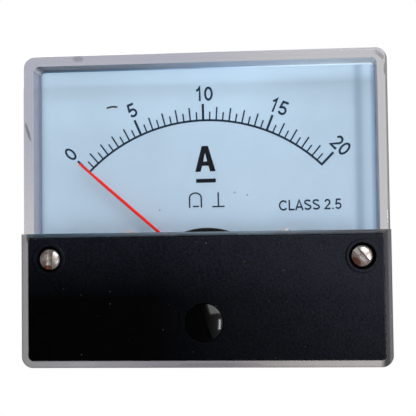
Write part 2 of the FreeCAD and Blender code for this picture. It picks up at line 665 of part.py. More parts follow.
def zero_adjuster():
    """Domed adjuster, snapped into the cover, with an off-centre pin behind."""
    body = new_body("zero_adjuster", "0", ADJUSTER_Z)
    seat = "(dim.window_front + dim.end_play)"
    rim = f"({PLINTH_FRONT} + dim.adjuster_proud)"
    lip = "(dim.neck_radius + dim.lip_grip)"
    dome = "((dim.adjuster_radius^2 + dim.dome_high^2) / (2 * dim.dome_high))"
    turned(body, "profile", [
        (LIP_BACK, "0"),
        (LIP_BACK, "dim.neck_radius"),
        (LIP_FRONT, lip),
        (LIP_FRONT, "dim.neck_radius"),
        (seat, "dim.neck_radius"),
        (seat, "dim.adjuster_radius"),
        (rim, "dim.adjuster_radius", dome, 1),
        (f"{rim} + dim.dome_high", "0"),
    ])
    pin = new_sketch(body, "pin", LIP_BACK)
    circle(pin, "dim.crank_radius", "0", "dim.crank_throw")
    pad(pin, f"({LIP_BACK} - {LEVER_BACK} + dim.lever_ease)", backward=True)
    cut = new_sketch(body, "slot", f"{rim} + dim.dome_high")
    reach = "(dim.adjuster_radius + dim.slot_past)"
    half = "(dim.adjuster_slot_wide / 2)"
    cosine = "cos(dim.adjuster_lean)"
    sine = "sin(dim.adjuster_lean)"
    # The slot leans while the pin stays upright, so its corners are turned here
    outline(cut, [
        (f"-{half} * {cosine} + {reach} * {sine}", f"-{half} * {sine} - {reach} * {cosine}"),
        (f"{half} * {cosine} + {reach} * {sine}", f"{half} * {sine} - {reach} * {cosine}"),
        (f"{half} * {cosine} - {reach} * {sine}", f"{half} * {sine} + {reach} * {cosine}"),
        (f"-{half} * {cosine} - {reach} * {sine}", f"-{half} * {sine} + {reach} * {cosine}"),
    ])
    pocket(cut, "dim.adjuster_slot_deep")
    return body


def case_base():
    """Black case: a flange inside the cover's walls and a barrel behind the panel."""
    body = new_body("case_base")
    side = "(dim.cover_wall + dim.flange_fit)"
    flange = new_sketch(body, "flange")
    outline(flange, rounded_corners(
        f"{FACE_LEFT} + {side}", f"{FACE_RIGHT} - {side}",
        f"{FACE_BOTTOM} + {side}", f"{FACE_TOP} - {side}", "dim.inner_corner"))
    pad(flange, "dim.flange_thick")
    barrel = new_sketch(body, "barrel")
    circle(barrel, "dim.barrel_radius")
    drum = pad(barrel, "dim.barrel_deep", backward=True)
    bevel_edges(drum, "dim.back_bevel", lambda edge: lies_at(edge, -value("dim.barrel_deep")))
    collars = new_sketch(body, "collars", "-dim.barrel_deep")
    for x, z in both_sides(STUD_X):
        circle(collars, "dim.collar_radius", x, z)
    pad(collars, "dim.collar_high", backward=True)
    depth = f"(dim.flange_thick - {BORE_BACK})"
    drilled(body, "bore", BARREL_BORE, "dim.flange_thick", depth, [("0", "0")])
    posts = new_sketch(body, "posts")
    for x, z in both_sides(SCREW_X, SCREW_Z):
        circle(posts, "dim.post_radius", x, z)
    pad(posts, COVER_INSIDE)
    bosses = new_sketch(body, "bosses", BORE_BACK)
    for x, z in both_sides(BOSS_X, BOSS_Z):
        circle(bosses, "dim.boss_radius", x, z)
    pad(bosses, f"({FRAME_BACK} - {BORE_BACK})")
    thread = "(dim.cover_shank_radius + dim.thread_fit)"
    post_deep = "(dim.cover_shank_long + dim.drill_spare - dim.window_thick)"
    drilled(body, "post_holes", thread, COVER_INSIDE, post_deep, both_sides(SCREW_X, SCREW_Z))
    boss_deep = "(dim.cover_shank_long + dim.drill_spare - dim.frame_thick)"
    drilled(body, "boss_holes", thread, FRAME_BACK, boss_deep, both_sides(BOSS_X, BOSS_Z))
    drilled(body, "terminal_holes", "(dim.stud_radius + dim.thread_fit)", BORE_BACK,
            "(dim.back_wall + dim.collar_high)", both_sides(STUD_X))
    corners = both_sides(MOUNT_X, MOUNT_LOW_Z) + both_sides(MOUNT_X, MOUNT_HIGH_Z)
    drilled(body, "mount_holes", "(dim.mount_shoulder_radius + dim.thread_fit)", "dim.flange_thick",
            "dim.flange_thick", corners)
    drilled(body, "mount_heads", "(dim.mount_head_radius + dim.thread_fit)", "dim.flange_thick",
            "dim.mount_head_high", corners)
    return body


def mounting_studs():
    """Four studs pressed into the flange's corners, for the nuts behind the panel."""
    studs = []
    seat = "(dim.flange_thick - dim.mount_head_high)"
    for level, height in (("lower", MOUNT_LOW_Z), ("upper", MOUNT_HIGH_Z)):
        for side, (x, z) in zip(("left", "right"), both_sides(MOUNT_X, height)):
            body = new_body(f"mounting_stud_{level}_{side}", x, z)
            turned(body, "profile", [
                ("-dim.mount_long", "0"),
                ("-dim.mount_long", "dim.mount_radius - dim.thread_bevel"),
                ("-dim.mount_long + dim.thread_bevel", "dim.mount_radius"),
                ("0", "dim.mount_radius"),
                ("0", "dim.mount_shoulder_radius"),
                (seat, "dim.mount_shoulder_radius"),
                (seat, "dim.mount_head_radius"),
                ("dim.flange_thick", "dim.mount_head_radius"),
                ("dim.flange_thick", "0"),
            ])
            studs.append(body)
    return group("mounting_studs", studs)


def dial_plate():
    """Printed sheet-metal dial, cut out over the movement and narrow between the posts."""
    body = new_body("dial_plate")
    half = "(dim.face_wide / 2 - dim.cover_wall - dim.dial_fit)"
    top = f"({FACE_TOP} - dim.cover_wall - dim.dial_fit)"
    step = f"({SCREW_Z} + dim.post_radius + dim.dial_leg_gap / 2)"
    leg = f"({SCREW_X} - dim.post_radius - dim.dial_leg_gap)"
    foot = f"({FACE_BOTTOM} + dim.dial_foot_rise)"
    corner = "dim.dial_corner"
    face = new_sketch(body, "face", DIAL_BACK)
    outline(face, [
        (f"-{leg}", foot),
        (leg, foot),
        (leg, step),
        (half, step),
        (half, f"{top} - {corner}", corner, 1),
        (f"{half} - {corner}", top),
        (f"-{half} + {corner}", top, corner, 1),
        (f"-{half}", f"{top} - {corner}"),
        (f"-{half}", step),
        (f"-{leg}", step),
    ])
    pad(face, "dim.dial_thick")
    drilled(body, "cutout", "dim.cutout_radius", DIAL_FRONT, "dim.dial_thick", [("0", CUTOUT_Z)])
    drilled(body, "screw_holes", "(dim.dial_shank_radius + dim.screw_fit)", DIAL_FRONT,
            "dim.dial_thick", both_sides(DIAL_SCREW_X, DIAL_SCREW_Z))
    drilled(body, "stop_holes", "(dim.stop_radius + dim.thread_fit)", DIAL_FRONT,
            "dim.dial_thick", stop_places())
    return body


def stop_places():
    """Places of the two stop pins, each against the wire at the end of its free swing."""
    low = f"({WIRE_LEAN} + dim.stop_swing * 1 deg)"
    low_side = "(dim.pointer_offset - dim.pointer_radius - dim.stop_radius)"
    high = f"(dim.scale_span * 1 deg - {WIRE_LEAN} + dim.stop_swing * 1 deg)"
    high_side = "(dim.pointer_offset + dim.pointer_radius + dim.stop_radius)"
    reach = "dim.stop_reach"
    return [
        (f"{low_side} * cos({low}) - {reach} * sin({low})",
         f"{PIVOT_Z} + {low_side} * sin({low}) + {reach} * cos({low})"),
        (f"{high_side} * cos({high}) + {reach} * sin({high})",
         f"{PIVOT_Z} - {high_side} * sin({high}) + {reach} * cos({high})"),
    ]


def pointer_stops():
    """Two pins in the dial that stop the pointer past either end of its scale."""
    pins = []
    for side, (x, z) in zip(("low", "high"), stop_places()):
        body = new_body(f"pointer_stop_{side}", x, z)
        turned(body, "profile", [
            (DIAL_BACK, "0"),
            (DIAL_BACK, "dim.stop_radius"),
            (f"{STOP_FRONT} - dim.stop_bevel", "dim.stop_radius"),
            (STOP_FRONT, "dim.stop_radius - dim.stop_bevel"),
            (STOP_FRONT, "0"),
        ])
        pins.append(body)
    return group("pointer_stops", pins)


def dial_screws():
    """Two screws that hold the dial on the frame's posts."""
    return group("dial_screws", screw_pair(
        "dial_screw", DIAL_SCREW_X, DIAL_SCREW_Z, DIAL_FRONT, "dial", "small",
        ("dim.dial_lean_left", "dim.dial_lean_right")))


def movement_frame():
    """Die-cast frame behind the yoke: fixing lugs, posts for the dial and an open middle."""
    body = new_body("movement_frame")
    plate = new_sketch(body, "plate", FRAME_BACK)
    reach = f"({BARREL_BORE} - dim.frame_gap)"
    low = f"({BOSS_Z} - dim.boss_radius + dim.frame_gap)"
    top = f"({DIAL_SCREW_Z} + dim.dial_post_radius)"
    shoulder = f"({DIAL_SCREW_X} + dim.dial_post_radius)"
    lug = f"({BOSS_X} + dim.lug_half)"
    outline(plate, [
        (f"-sqrt({reach}^2 - {low}^2)", low),
        (f"sqrt({reach}^2 - {low}^2)", low),
        (lug, f"{BOSS_Z} + dim.boss_radius"),
        (shoulder, top),
        (f"-{shoulder}", top),
        (f"-{lug}", f"{BOSS_Z} + dim.boss_radius"),
    ])
    pad(plate, "dim.frame_thick")
    ring = new_sketch(body, "ring", FRAME_BACK)
    circle(ring, YOKE_RADIUS, "0", PIVOT_Z)
    pad(ring, "dim.frame_thick")
    places = both_sides(DIAL_SCREW_X, DIAL_SCREW_Z)
    posts = new_sketch(body, "posts", FRAME_BACK)
    for x, z in places:
        circle(posts, "dim.dial_post_radius", x, z)
    pad(posts, f"({DIAL_BACK} - {FRAME_BACK})")
    drilled(body, "middle", YOKE_BORE, YOKE_BACK, "dim.frame_thick", [("0", PIVOT_Z)])
    drilled(body, "post_holes", "(dim.dial_shank_radius + dim.thread_fit)", DIAL_BACK,
            "(dim.dial_shank_long - dim.dial_thick + dim.drill_spare)", places)
    drilled(body, "lug_holes", "(dim.cover_shank_radius + dim.screw_fit)", YOKE_BACK,
            "dim.frame_thick", both_sides(BOSS_X, BOSS_Z))
    drilled(body, "bridge_holes", "(dim.foot_shank_radius + dim.thread_fit)", YOKE_BACK,
            "dim.frame_thick", both_sides("dim.foot_screw_half", PIVOT_Z))
    return body


def frame_screws():
    """Two screws that hold the movement's frame on the case's bosses."""
    return group("frame_screws", screw_pair(
        "frame_screw", BOSS_X, BOSS_Z, YOKE_BACK, "cover", "cover",
        ("dim.frame_lean_left", "dim.frame_lean_right")))


def yoke_ring():
    """Soft-iron ring around the coil, seated on the frame."""
    body = new_body("yoke_ring", "0", PIVOT_Z)
    ring = new_sketch(body, "ring", YOKE_BACK)
    circle(ring, YOKE_RADIUS)
    circle(ring, YOKE_BORE)
    pad(ring, "dim.core_long")
    drilled(body, "bridge_holes", "(dim.foot_shank_radius + dim.thread_fit)", YOKE_FRONT,
            "(dim.foot_shank_long + dim.drill_spare)", both_sides("dim.foot_screw_half"))
    return body


def magnet_core():
    """Round magnet inside the coil."""
    body = new_body("magnet_core", "0", PIVOT_Z)
    disc = new_sketch(body, "disc", YOKE_BACK)
    circle(disc, "dim.core_radius")
    pad(disc, "dim.core_long")
    return body


def core_spacers():
    """Two brass spacers, above and below, that hold the magnet in the yoke."""
    body = new_body("core_spacers", "0", PIVOT_Z)
    section = new_sketch(body, "section", YOKE_BACK)
    half = "dim.spacer_half"
    inner = f"sqrt(dim.core_radius^2 - {half}^2)"
    outer = f"sqrt({YOKE_BORE}^2 - {half}^2)"
    outline(section, [
        (half, inner),
        (half, outer, YOKE_BORE, 1),
        (f"-{half}", outer),
        (f"-{half}", inner, "dim.core_radius", -1),
    ])
    outline(section, [
        (f"-{half}", f"-{inner}"),
        (f"-{half}", f"-{outer}", YOKE_BORE, 1),
        (half, f"-{outer}"),
        (half, f"-{inner}", "dim.core_radius", -1),
    ])
    pad(section, "dim.core_long")
    return body


def coil_loop(name, inset, thick, wide):
    """Make a rectangular loop around the core, in the plane of X and Y."""
    body = new_body(name, "0", PIVOT_Z, REST_TURN)
    loop = new_sketch(body, "loop", plane="XY_Plane")
    for grow in (inset, f"({inset} + {thick})"):
        half = f"({FORMER_HALF_IN} + {grow})"
        outline(loop, rounded_corners(
            f"-{half}", half, f"-({FORMER_FRONT_IN} + {grow})", f"-({FORMER_BACK_IN} - {grow})",
            f"(dim.former_corner + {grow})"))
    pad(loop, wide, midplane=True)
    return body


def pivot(name, foot_face, cup_face, way):
    """Make a pivot: a foot on the coil, a shaft and a point in the jewel's cup."""
    body = new_body(name, "0", PIVOT_Z, REST_TURN)
    shoulder = f"({foot_face} {way} dim.pivot_foot_thick)"
    tip = f"({cup_face} {way} (dim.cup_deep - dim.end_play / 2))"
    back = "-" if way == "+" else "+"
    turned(body, "profile", [
        (foot_face, "0"),
        (foot_face, "dim.pivot_foot_radius"),
        (shoulder, "dim.pivot_foot_radius"),
        (shoulder, "dim.pivot_radius"),
        (f"{tip} {back} dim.pivot_cone", "dim.pivot_radius"),
        (tip, "0"),
    ])
    return body


def pointer_carrier():
    """Hub on the front pivot, with a strap to the pointer's wire and three balance arms."""
    body = new_body("pointer_carrier", "0", PIVOT_Z, REST_TURN)
    strap = new_sketch(body, "strap", HUB_BACK)
    edge = "(dim.pointer_offset + dim.pointer_radius)"
    outline(strap, rounded_corners(
        "-dim.hub_radius", edge, "-dim.pointer_tail", "dim.strap_long", "dim.arm_radius"))
    pad(strap, f"({STRAP_FRONT} - {HUB_BACK})")
    hub_long = f"({SPRING_FRONT_FACE} - {HUB_BACK})"
    hub = new_sketch(body, "hub", HUB_BACK)
    circle(hub, "dim.hub_radius")
    pad(hub, hub_long)
    tail = new_sketch(body, "tail", plane="XY_Plane")
    circle(tail, "dim.arm_radius", "0", f"-{ARM_FORWARD}")
    pad(tail, "dim.tail_long", backward=True)
    sides = new_sketch(body, "sides", plane="YZ_Plane")
    circle(sides, "dim.arm_radius", f"-{ARM_FORWARD}", "0")
    pad(sides, "(dim.side_arm_long * 2)", midplane=True)
    drilled(body, "bore", "(dim.pivot_radius + dim.thread_fit)", SPRING_FRONT_FACE, hub_long,
            [("0", "0")])
    return body


def pointer():
    """Red wire with a tapered tip, which passes beside the pivot."""
    body = new_body("pointer", "0", PIVOT_Z, REST_TURN)
    taper = "(sqrt(dim.pointer_reach^2 - dim.pointer_offset^2) - dim.tip_long)"
    wire = attached(body, "PartDesign::AdditiveCylinder", "wire", "XY_Plane", "-dim.pointer_tail")
    wire.setExpression("Radius", "dim.pointer_radius")
    wire.setExpression("Height", f"{taper} + dim.pointer_tail")
    tip = attached(body, "PartDesign::AdditiveCone", "tip", "XY_Plane", taper)
    tip.setExpression("Radius1", "dim.pointer_radius")
    tip.setExpression("Radius2", "dim.tip_radius")
    tip.setExpression("Height", "dim.tip_long")
    for run in (wire, tip):
        run.setExpression("AttachmentOffset.Base.x", "dim.pointer_offset")
        run.setExpression("AttachmentOffset.Base.y", f"-{POINTER_FORWARD}")
    return body


def balance_weights():
    """Three sleeves on the carrier's tail and side arms."""
    body = new_body("balance_weights", "0", PIVOT_Z, REST_TURN)
    bore = "(dim.arm_radius + dim.thread_fit)"
    tail = new_sketch(body, "tail", "-dim.tail_long", plane="XY_Plane")
    circle(tail, "dim.tail_weight_radius", "0", f"-{ARM_FORWARD}")
    circle(tail, bore, "0", f"-{ARM_FORWARD}")
    pad(tail, "dim.tail_weight_long")
    for name, way in (("left", "-"), ("right", "")):
        side = new_sketch(body, name, f"{way}dim.side_arm_long", plane="YZ_Plane")
        circle(side, "dim.side_weight_radius", f"-{ARM_FORWARD}", "0")
        circle(side, bore, f"-{ARM_FORWARD}", "0")
        pad(side, "dim.side_weight_long", backward=name == "right")
    return body


def hairspring(name, back_face):
    """Wind a flat ribbon in half turns whose centres alternate, from the hub up to its tab."""
    ribbon = value("dim.spring_ribbon")
    step = value("dim.spring_pitch") / 2
    inner_edges = []
    outer_edges = []
    radius = value(SPRING_START)
    for half_turn in range(int(2 * value("dim.spring_turns"))):
        centre = step * (half_turn % 2)
        side = -1 if half_turn % 2 else 1
        for edges, offset in ((inner_edges, -ribbon / 2), (outer_edges, ribbon / 2)):
            reach = radius + offset
            edges.append(Part.Arc(
                FreeCAD.Vector(centre + side * reach, 0, 0),
                FreeCAD.Vector(centre, 0, side * reach),
                FreeCAD.Vector(centre - side * reach, 0, 0)).toShape())
        radius += step
    ends = []
    for index in (0, -1):
        ends.append(Part.makeLine(
            inner_edges[index].Vertexes[index].Point, outer_edges[index].Vertexes[index].Point))
    wire = Part.Wire(Part.__sortEdges__(inner_edges + outer_edges + ends))
    shape = Part.Face(wire).extrude(FreeCAD.Vector(0, value("dim.spring_high"), 0))
    made = solid(name, shape)
    made.Placement = FreeCAD.Placement(
        FreeCAD.Vector(0, -value(back_face) - value("dim.spring_high"), value(PIVOT_Z)),
        FreeCAD.Rotation(FreeCAD.Vector(1, 0, 0), FreeCAD.Vector(0, 0, 1)))
    return made


def bridge(name, foot_face, hat_front, hat_half, foot_half, way):
    """Press a hat-shaped strip: two feet, two legs and a flat top with the jewel's hole."""
    body = new_body(name, "0", PIVOT_Z)
    side = new_sketch(body, "side", plane="XY_Plane")
    thick = "dim.bridge_thick"
    under = "+" if way == "-" else "-"
    leg = f"({hat_half} - {thick})"
    foot = f"-({foot_face})"
    sole = f"-({foot_face}) {way} {thick}"
    top = f"-({hat_front})"
    inner_top = f"-({hat_front}) {under} {thick}"
    corners = [
        (f"-{foot_half}", foot), (f"-{leg}", foot), (f"-{leg}", inner_top), (leg, inner_top),
        (leg, foot), (foot_half, foot), (foot_half, sole), (hat_half, sole),
        (hat_half, top), (f"-{hat_half}", top), (f"-{hat_half}", sole), (f"-{foot_half}", sole),
    ]
    outline(side, corners)
    pad(side, "dim.bridge_wide", midplane=True)
    return body


def front_bridge():
    """Front bridge, over the coil, with its feet on the yoke."""
    body = bridge("front_bridge", YOKE_FRONT, BRIDGE_FRONT, "dim.bridge_half",
                  "dim.bridge_foot_half", "-")
    drilled(body, "jewel_hole", "(dim.jewel_radius + dim.thread_fit)", BRIDGE_FRONT,
            "dim.bridge_thick", [("0", "0")])
    drilled(body, "foot_holes", "(dim.foot_shank_radius + dim.screw_fit)",
            f"({YOKE_FRONT} + dim.bridge_thick)", "dim.bridge_thick",
            both_sides("dim.foot_screw_half"))
    return body


def rear_bridge():
    """Rear bridge, with its feet on the back of the frame."""
    body = bridge("rear_bridge", FRAME_BACK, REAR_BRIDGE_BACK, "dim.rear_bridge_half",
                  "dim.rear_foot_half", "+")
    drilled(body, "jewel_hole", "(dim.jewel_radius + dim.thread_fit)", REAR_BRIDGE_FRONT,
            "dim.bridge_thick", [("0", "0")])
    drilled(body, "foot_holes", "(dim.foot_shank_radius + dim.screw_fit)", FRAME_BACK,
            "dim.bridge_thick", both_sides("dim.foot_screw_half"))
    return body


def bridge_screws():
    """Four small screws: two in the yoke's front, two in the frame's back."""
    front = screw_pair(
        "front_bridge_screw", "dim.foot_screw_half", PIVOT_Z, f"({YOKE_FRONT} + dim.bridge_thick)",
        "foot", "small", ("dim.foot_lean", "dim.foot_lean"), head="plain")
    rear = screw_pair(
        "rear_bridge_screw", "dim.foot_screw_half", PIVOT_Z, f"({FRAME_BACK} - dim.bridge_thick)",
        "foot", "small", ("0", "0"), way="-", head="plain")
    return group("bridge_screws", front + rear)


def front_jewel_screw():
    """Headed bush through the front bridge; the zero lever turns between them."""
    body = new_body("front_jewel_screw", "0", PIVOT_Z)
    face = f"({JEWEL_SEAT} + dim.jewel_head_high)"
    turned(body, "profile", [
        (f"{FRONT_CUP} + dim.cup_deep", "0"),
        (FRONT_CUP, "dim.cup_radius"),
        (FRONT_CUP, "dim.jewel_radius"),
        (BRIDGE_FRONT, "dim.jewel_radius"),
        (BRIDGE_FRONT, "dim.nut_radius"),
        (JEWEL_SEAT, "dim.nut_radius"),
        (JEWEL_SEAT, "dim.jewel_head_radius"),
        (face, "dim.jewel_head_radius"),
        (face, "0"),
    ])
    driver_slot(body, face, "dim.small_slot_wide", "dim.jewel_slot_deep", "dim.jewel_head_radius")
    return body


def rear_jewel_screw():
    """Slotted screw through the rear bridge that carries the rear jewel."""
    body = new_body("rear_jewel_screw", "0", PIVOT_Z)
    end = f"({REAR_BRIDGE_BACK} - dim.lever_thick - dim.rear_nut_high - dim.rear_screw_past)"
    turned(body, "profile", [
        (end, "0"),
        (end, "dim.jewel_radius"),
        (REAR_CUP, "dim.jewel_radius"),
        (REAR_CUP, "dim.cup_radius"),
        (f"{REAR_CUP} - dim.cup_deep", "0"),
    ])
    driver_slot(body, end, "dim.small_slot_wide", "dim.small_slot_deep", "dim.jewel_radius", True)
    return body


def hexagon(sketch, across, x="0", z="0"):
    """Draw a hexagon with two corners to the left and right."""
    reach = f"({across} / sqrt(3))"
    outline(sketch, [
        (f"{x} + {reach} * cos({60 * k})", f"{z} + {reach} * sin({60 * k})") for k in range(6)
    ])


def rear_lock_nut():
    """Hexagon nut that locks the rear jewel screw and clamps the spring anchor."""
    body = new_body("rear_lock_nut", "0", PIVOT_Z)
    face = new_sketch(body, "face", f"({REAR_BRIDGE_BACK} - dim.lever_thick)")
    hexagon(face, "(dim.nut_radius * 2)")
    circle(face, "(dim.jewel_radius + dim.thread_fit)")
    pad(face, "dim.rear_nut_high", backward=True)
    return body


def zero_lever():
    """Thin lever on the front bush: a fork down to the adjuster's pin, a tab up to the spring."""
    body = new_body("zero_lever", "0", PIVOT_Z)
    bore = "(dim.nut_radius + dim.running_fit)"
    ring = f"({bore} + dim.lever_ring_wide)"
    slot = "(dim.crank_radius + dim.fork_fit)"
    half = f"({slot} + dim.tine_wide)"
    crank = "(dim.adjuster_drop - dim.crank_throw)"
    slot_top = f"({crank} - dim.crank_radius - dim.fork_fit)"
    fork_end = f"({crank} + dim.crank_radius + dim.fork_past)"
    plate = new_sketch(body, "plate", LEVER_BACK)
    circle(plate, ring)
    pad(plate, "dim.lever_thick")
    fork = new_sketch(body, "fork", LEVER_BACK)
    outline(fork, [
        (f"-{half}", f"-{fork_end}"),
        (f"-{slot}", f"-{fork_end}"),
        (f"-{slot}", f"-{slot_top}"),
        (slot, f"-{slot_top}"),
        (slot, f"-{fork_end}"),
        (half, f"-{fork_end}"),
        (half, f"-{bore}"),
        (f"-{half}", f"-{bore}"),
    ])
    pad(fork, "dim.lever_thick")
    tail = new_sketch(body, "tail", LEVER_BACK)
    outline(tail, box_corners("-dim.tab_half", "dim.tab_half", bore, TAB_END))
    pad(tail, "dim.lever_thick")
    tab = new_sketch(body, "tab", LEVER_BACK)
    outline(tab, box_corners("-dim.tab_half", "dim.tab_half", TAB_START, TAB_END))
    pad(tab, f"({LEVER_BACK} - {SPRING_BACK_FACE})", backward=True)
    drilled(body, "bore", bore, LEVER_FRONT, "dim.lever_thick", [("0", "0")])
    return body


def rear_anchor():
    """Thin strap under the rear lock nut that holds the rear hairspring's outer end."""
    body = new_body("rear_anchor", "0", PIVOT_Z)
    bore = "(dim.jewel_radius + dim.thread_fit)"
    plate = new_sketch(body, "plate", REAR_BRIDGE_BACK)
    circle(plate, "(dim.nut_radius + dim.lever_ring_wide)")
    pad(plate, "dim.lever_thick", backward=True)
    tail = new_sketch(body, "tail", REAR_BRIDGE_BACK)
    outline(tail, box_corners("-dim.tab_half", "dim.tab_half", bore, TAB_END))
    pad(tail, "dim.lever_thick", backward=True)
    tab = new_sketch(body, "tab", f"({REAR_BRIDGE_BACK} - dim.lever_thick)")
    outline(tab, box_corners("-dim.tab_half", "dim.tab_half", TAB_START, TAB_END))
    pad(tab, f"({REAR_SPRING_FRONT} - {REAR_BRIDGE_BACK} + dim.lever_thick)")
    drilled(body, "bore", bore, REAR_BRIDGE_BACK, "dim.lever_thick", [("0", "0")])
    return body


def at_both_terminals(name, make):
    """Group a piece on the left stud with its fellow on the right one."""
    return group(name, [make(f"{name}_left", f"-{STUD_X}"), make(f"{name}_right", STUD_X)])


def terminal_stud(name, x):
    """Threaded stud with a round head inside the case."""
    body = new_body(name, x)
    turned(body, "profile", [
        (STUD_END, "0"),
        (STUD_END, "dim.stud_radius - dim.thread_bevel"),
        (f"{STUD_END} + dim.thread_bevel", "dim.stud_radius"),
        (SHUNT_FRONT, "dim.stud_radius"),
        (SHUNT_FRONT, "dim.stud_head_radius"),
        (STUD_HEAD_FRONT, "dim.stud_head_radius"),
        (STUD_HEAD_FRONT, "0"),
    ])
    return body


def flat_washer(face, name, x):
    """Flat washer behind a face."""
    body = new_body(name, x)
    disc = new_sketch(body, "disc", face)
    circle(disc, "dim.washer_radius")
    circle(disc, "(dim.stud_radius + dim.running_fit)")
    pad(disc, "dim.washer_thick", backward=True)
    return body


def hex_nut(face, name, x):
    """Hexagon nut behind a face, with the corners of its outer end turned off."""
    body = new_body(name, x)
    prism = new_sketch(body, "prism", face)
    hexagon(prism, "dim.nut_across")
    pad(prism, "dim.nut_high", backward=True)
    drilled(body, "thread", "(dim.stud_radius + dim.thread_fit)", face, "dim.nut_high", [("0", "0")])
    corner = "(dim.nut_across / sqrt(3))"
    outside = f"({corner} + dim.slot_past)"
    end = f"({face} - dim.nut_high)"
    turned(body, "bevel", [
        (end, f"{corner} - dim.nut_bevel_wide"),
        (f"{end} + dim.nut_bevel_high", corner),
        (f"{end} + dim.nut_bevel_high", outside),
        (end, outside),
    ], kind="Groove")
    return body


def spring_washer(name, x):
    """Split washer under the outer nut."""
    body = new_body(name, x)
    disc = new_sketch(body, "disc", LOCK_WASHER)
    circle(disc, "dim.lock_washer_radius")
    circle(disc, "(dim.stud_radius + dim.running_fit)")
    pad(disc, "dim.lock_washer_thick", backward=True)
    gap = new_sketch(body, "gap", LOCK_WASHER)
    half = "(dim.lock_washer_split / 2)"
    outline(gap, box_corners(f"-{half}", half, "0", "dim.lock_washer_radius + dim.slot_past"))
    pocket(gap, "dim.lock_washer_thick")
    return body


def solder_tag(name, x):
    """Flat tag between the nuts, with a tail and an eye below the barrel's axis."""
    body = new_body(name, x)
    eye = "(dim.tag_reach - dim.tag_wide / 2)"
    disc = new_sketch(body, "disc", TAG_FACE)
    circle(disc, "dim.washer_radius")
    pad(disc, "dim.tag_thick", backward=True)
    tail = new_sketch(body, "tail", TAG_FACE)
    half = "(dim.tag_wide / 2)"
    end = "(dim.tag_end_wide / 2)"
    outline(tail, [
        (f"-{half}", f"-{eye}"), (f"-{end}", "-dim.tag_reach"), (end, "-dim.tag_reach"),
        (half, f"-{eye}"), (half, "0"), (f"-{half}", "0"),
    ])
    pad(tail, "dim.tag_thick", backward=True)
    drilled(body, "eye", "dim.tag_eye_radius", TAG_FACE, "dim.tag_thick", [("0", f"-{eye}")])
    bore = "(dim.stud_radius + dim.running_fit)"
    drilled(body, "bore", bore, TAG_FACE, "dim.tag_thick", [("0", "0")])
    return body


def shunt_strip():
    """Resistance strip across the two studs, notched to set its value."""
    body = new_body("shunt_strip")
    strip = new_sketch(body, "strip", BORE_BACK)
    half = "(dim.shunt_wide / 2)"
    end = f"({STUD_X} + dim.stud_head_radius)"
    outline(strip, rounded_corners(f"-{end}", end, f"-{half}", half, "dim.shunt_corner"))
    pad(strip, "dim.shunt_thick")
    drilled(body, "holes", "(dim.stud_radius + dim.running_fit)", SHUNT_FRONT,
            "dim.shunt_thick", both_sides(STUD_X))
    notch = new_sketch(body, "notch", SHUNT_FRONT)
    notch_half = "(dim.shunt_notch_wide / 2)"
    outline(notch, box_corners(
        f"-{notch_half}", notch_half, f"-{half} - dim.slot_past", f"-{half} + dim.shunt_notch_deep"))
    pocket(notch, "dim.shunt_thick")
    return body


def tube(points, radius, bend):
    """Sweep a round wire along straight runs joined by tangent arcs."""
    edges = []
    start = points[0]
    for before, corner, after in zip(points, points[1:], points[2:]):
        inward = (before - corner).normalize()
        outward = (after - corner).normalize()
        turn = math.pi - inward.getAngle(outward)
        trim = bend * math.tan(turn / 2)
        middle = (inward + outward).normalize()
        depth = bend / math.cos(turn / 2) - bend
        enter = corner + inward * trim
        leave = corner + outward * trim
        edges.append(Part.makeLine(start, enter))
        edges.append(Part.Arc(enter, corner + middle * depth, leave).toShape())
        start = leave
    edges.append(Part.makeLine(start, points[-1]))
    path = Part.Wire(edges)
    section = Part.Wire(Part.makeCircle(radius, points[0], points[1] - points[0]))
    return path.makePipeShell([section], True, False)


def place(x, forward, z):
    """Return a point from three expressions."""
    return FreeCAD.Vector(value(x), -value(forward), value(z))


def lead_route(side):
    """Points of a lead from a stud's head up to the movement's frame, on one side."""
    foot_x = f"({side} * {STUD_X})"
    rise_x = f"({side} * ({DIAL_SCREW_X} - dim.lead_radius))"
    level = f"({DIAL_SCREW_Z} + dim.dial_post_radius - dim.lead_radius * 2)"
    middle = f"(({STUD_HEAD_FRONT} + {FRAME_BACK}) / 2)"
    return [
        place(foot_x, STUD_HEAD_FRONT, "0"),
        place(foot_x, middle, "0"),
        place(rise_x, middle, level),
        place(rise_x, FRAME_BACK, level),
    ]


def lead_left():
    """Insulated lead from the left terminal to the frame."""
    shape = tube(lead_route("-1"), value("dim.lead_radius"), value("dim.lead_bend"))
    return solid("lead_left", shape)


def lead_right():
    """Insulated leads below and above the series resistor, up to the frame."""
    route = lead_route("1")
    low, high = resistor_ends()
    radius = value("dim.lead_radius")
    lower = Part.makeCylinder(radius, low.sub(route[0]).Length, route[0], low - route[0])
    upper = tube([high] + route[1:], radius, value("dim.lead_bend"))
    return solid("lead_right", Part.makeCompound([lower, upper]))


def resistor_ends():
    """The two ends of the series resistor, along the straight foot of the right lead."""
    route = lead_route("1")
    along = (route[1] - route[0]).normalize()
    low = route[0] + along * value("dim.resistor_lift")
    return low, low + along * value("dim.resistor_long")


def series_resistor():
    """Wire-wound resistor with two end caps, in line with the right lead."""
    low, high = resistor_ends()
    along = (high - low).normalize()
    band = value("dim.resistor_band")
    long = value("dim.resistor_long")
    radius = value("dim.resistor_radius")
    cap = radius + value("dim.resistor_swell")
    shape = Part.makeCylinder(radius, long, low, along)
    shape = shape.fuse(Part.makeCylinder(cap, band, low, along))
    shape = shape.fuse(Part.makeCylinder(cap, band, high - along * band, along))
    return solid("series_resistor", shape.removeSplitter())


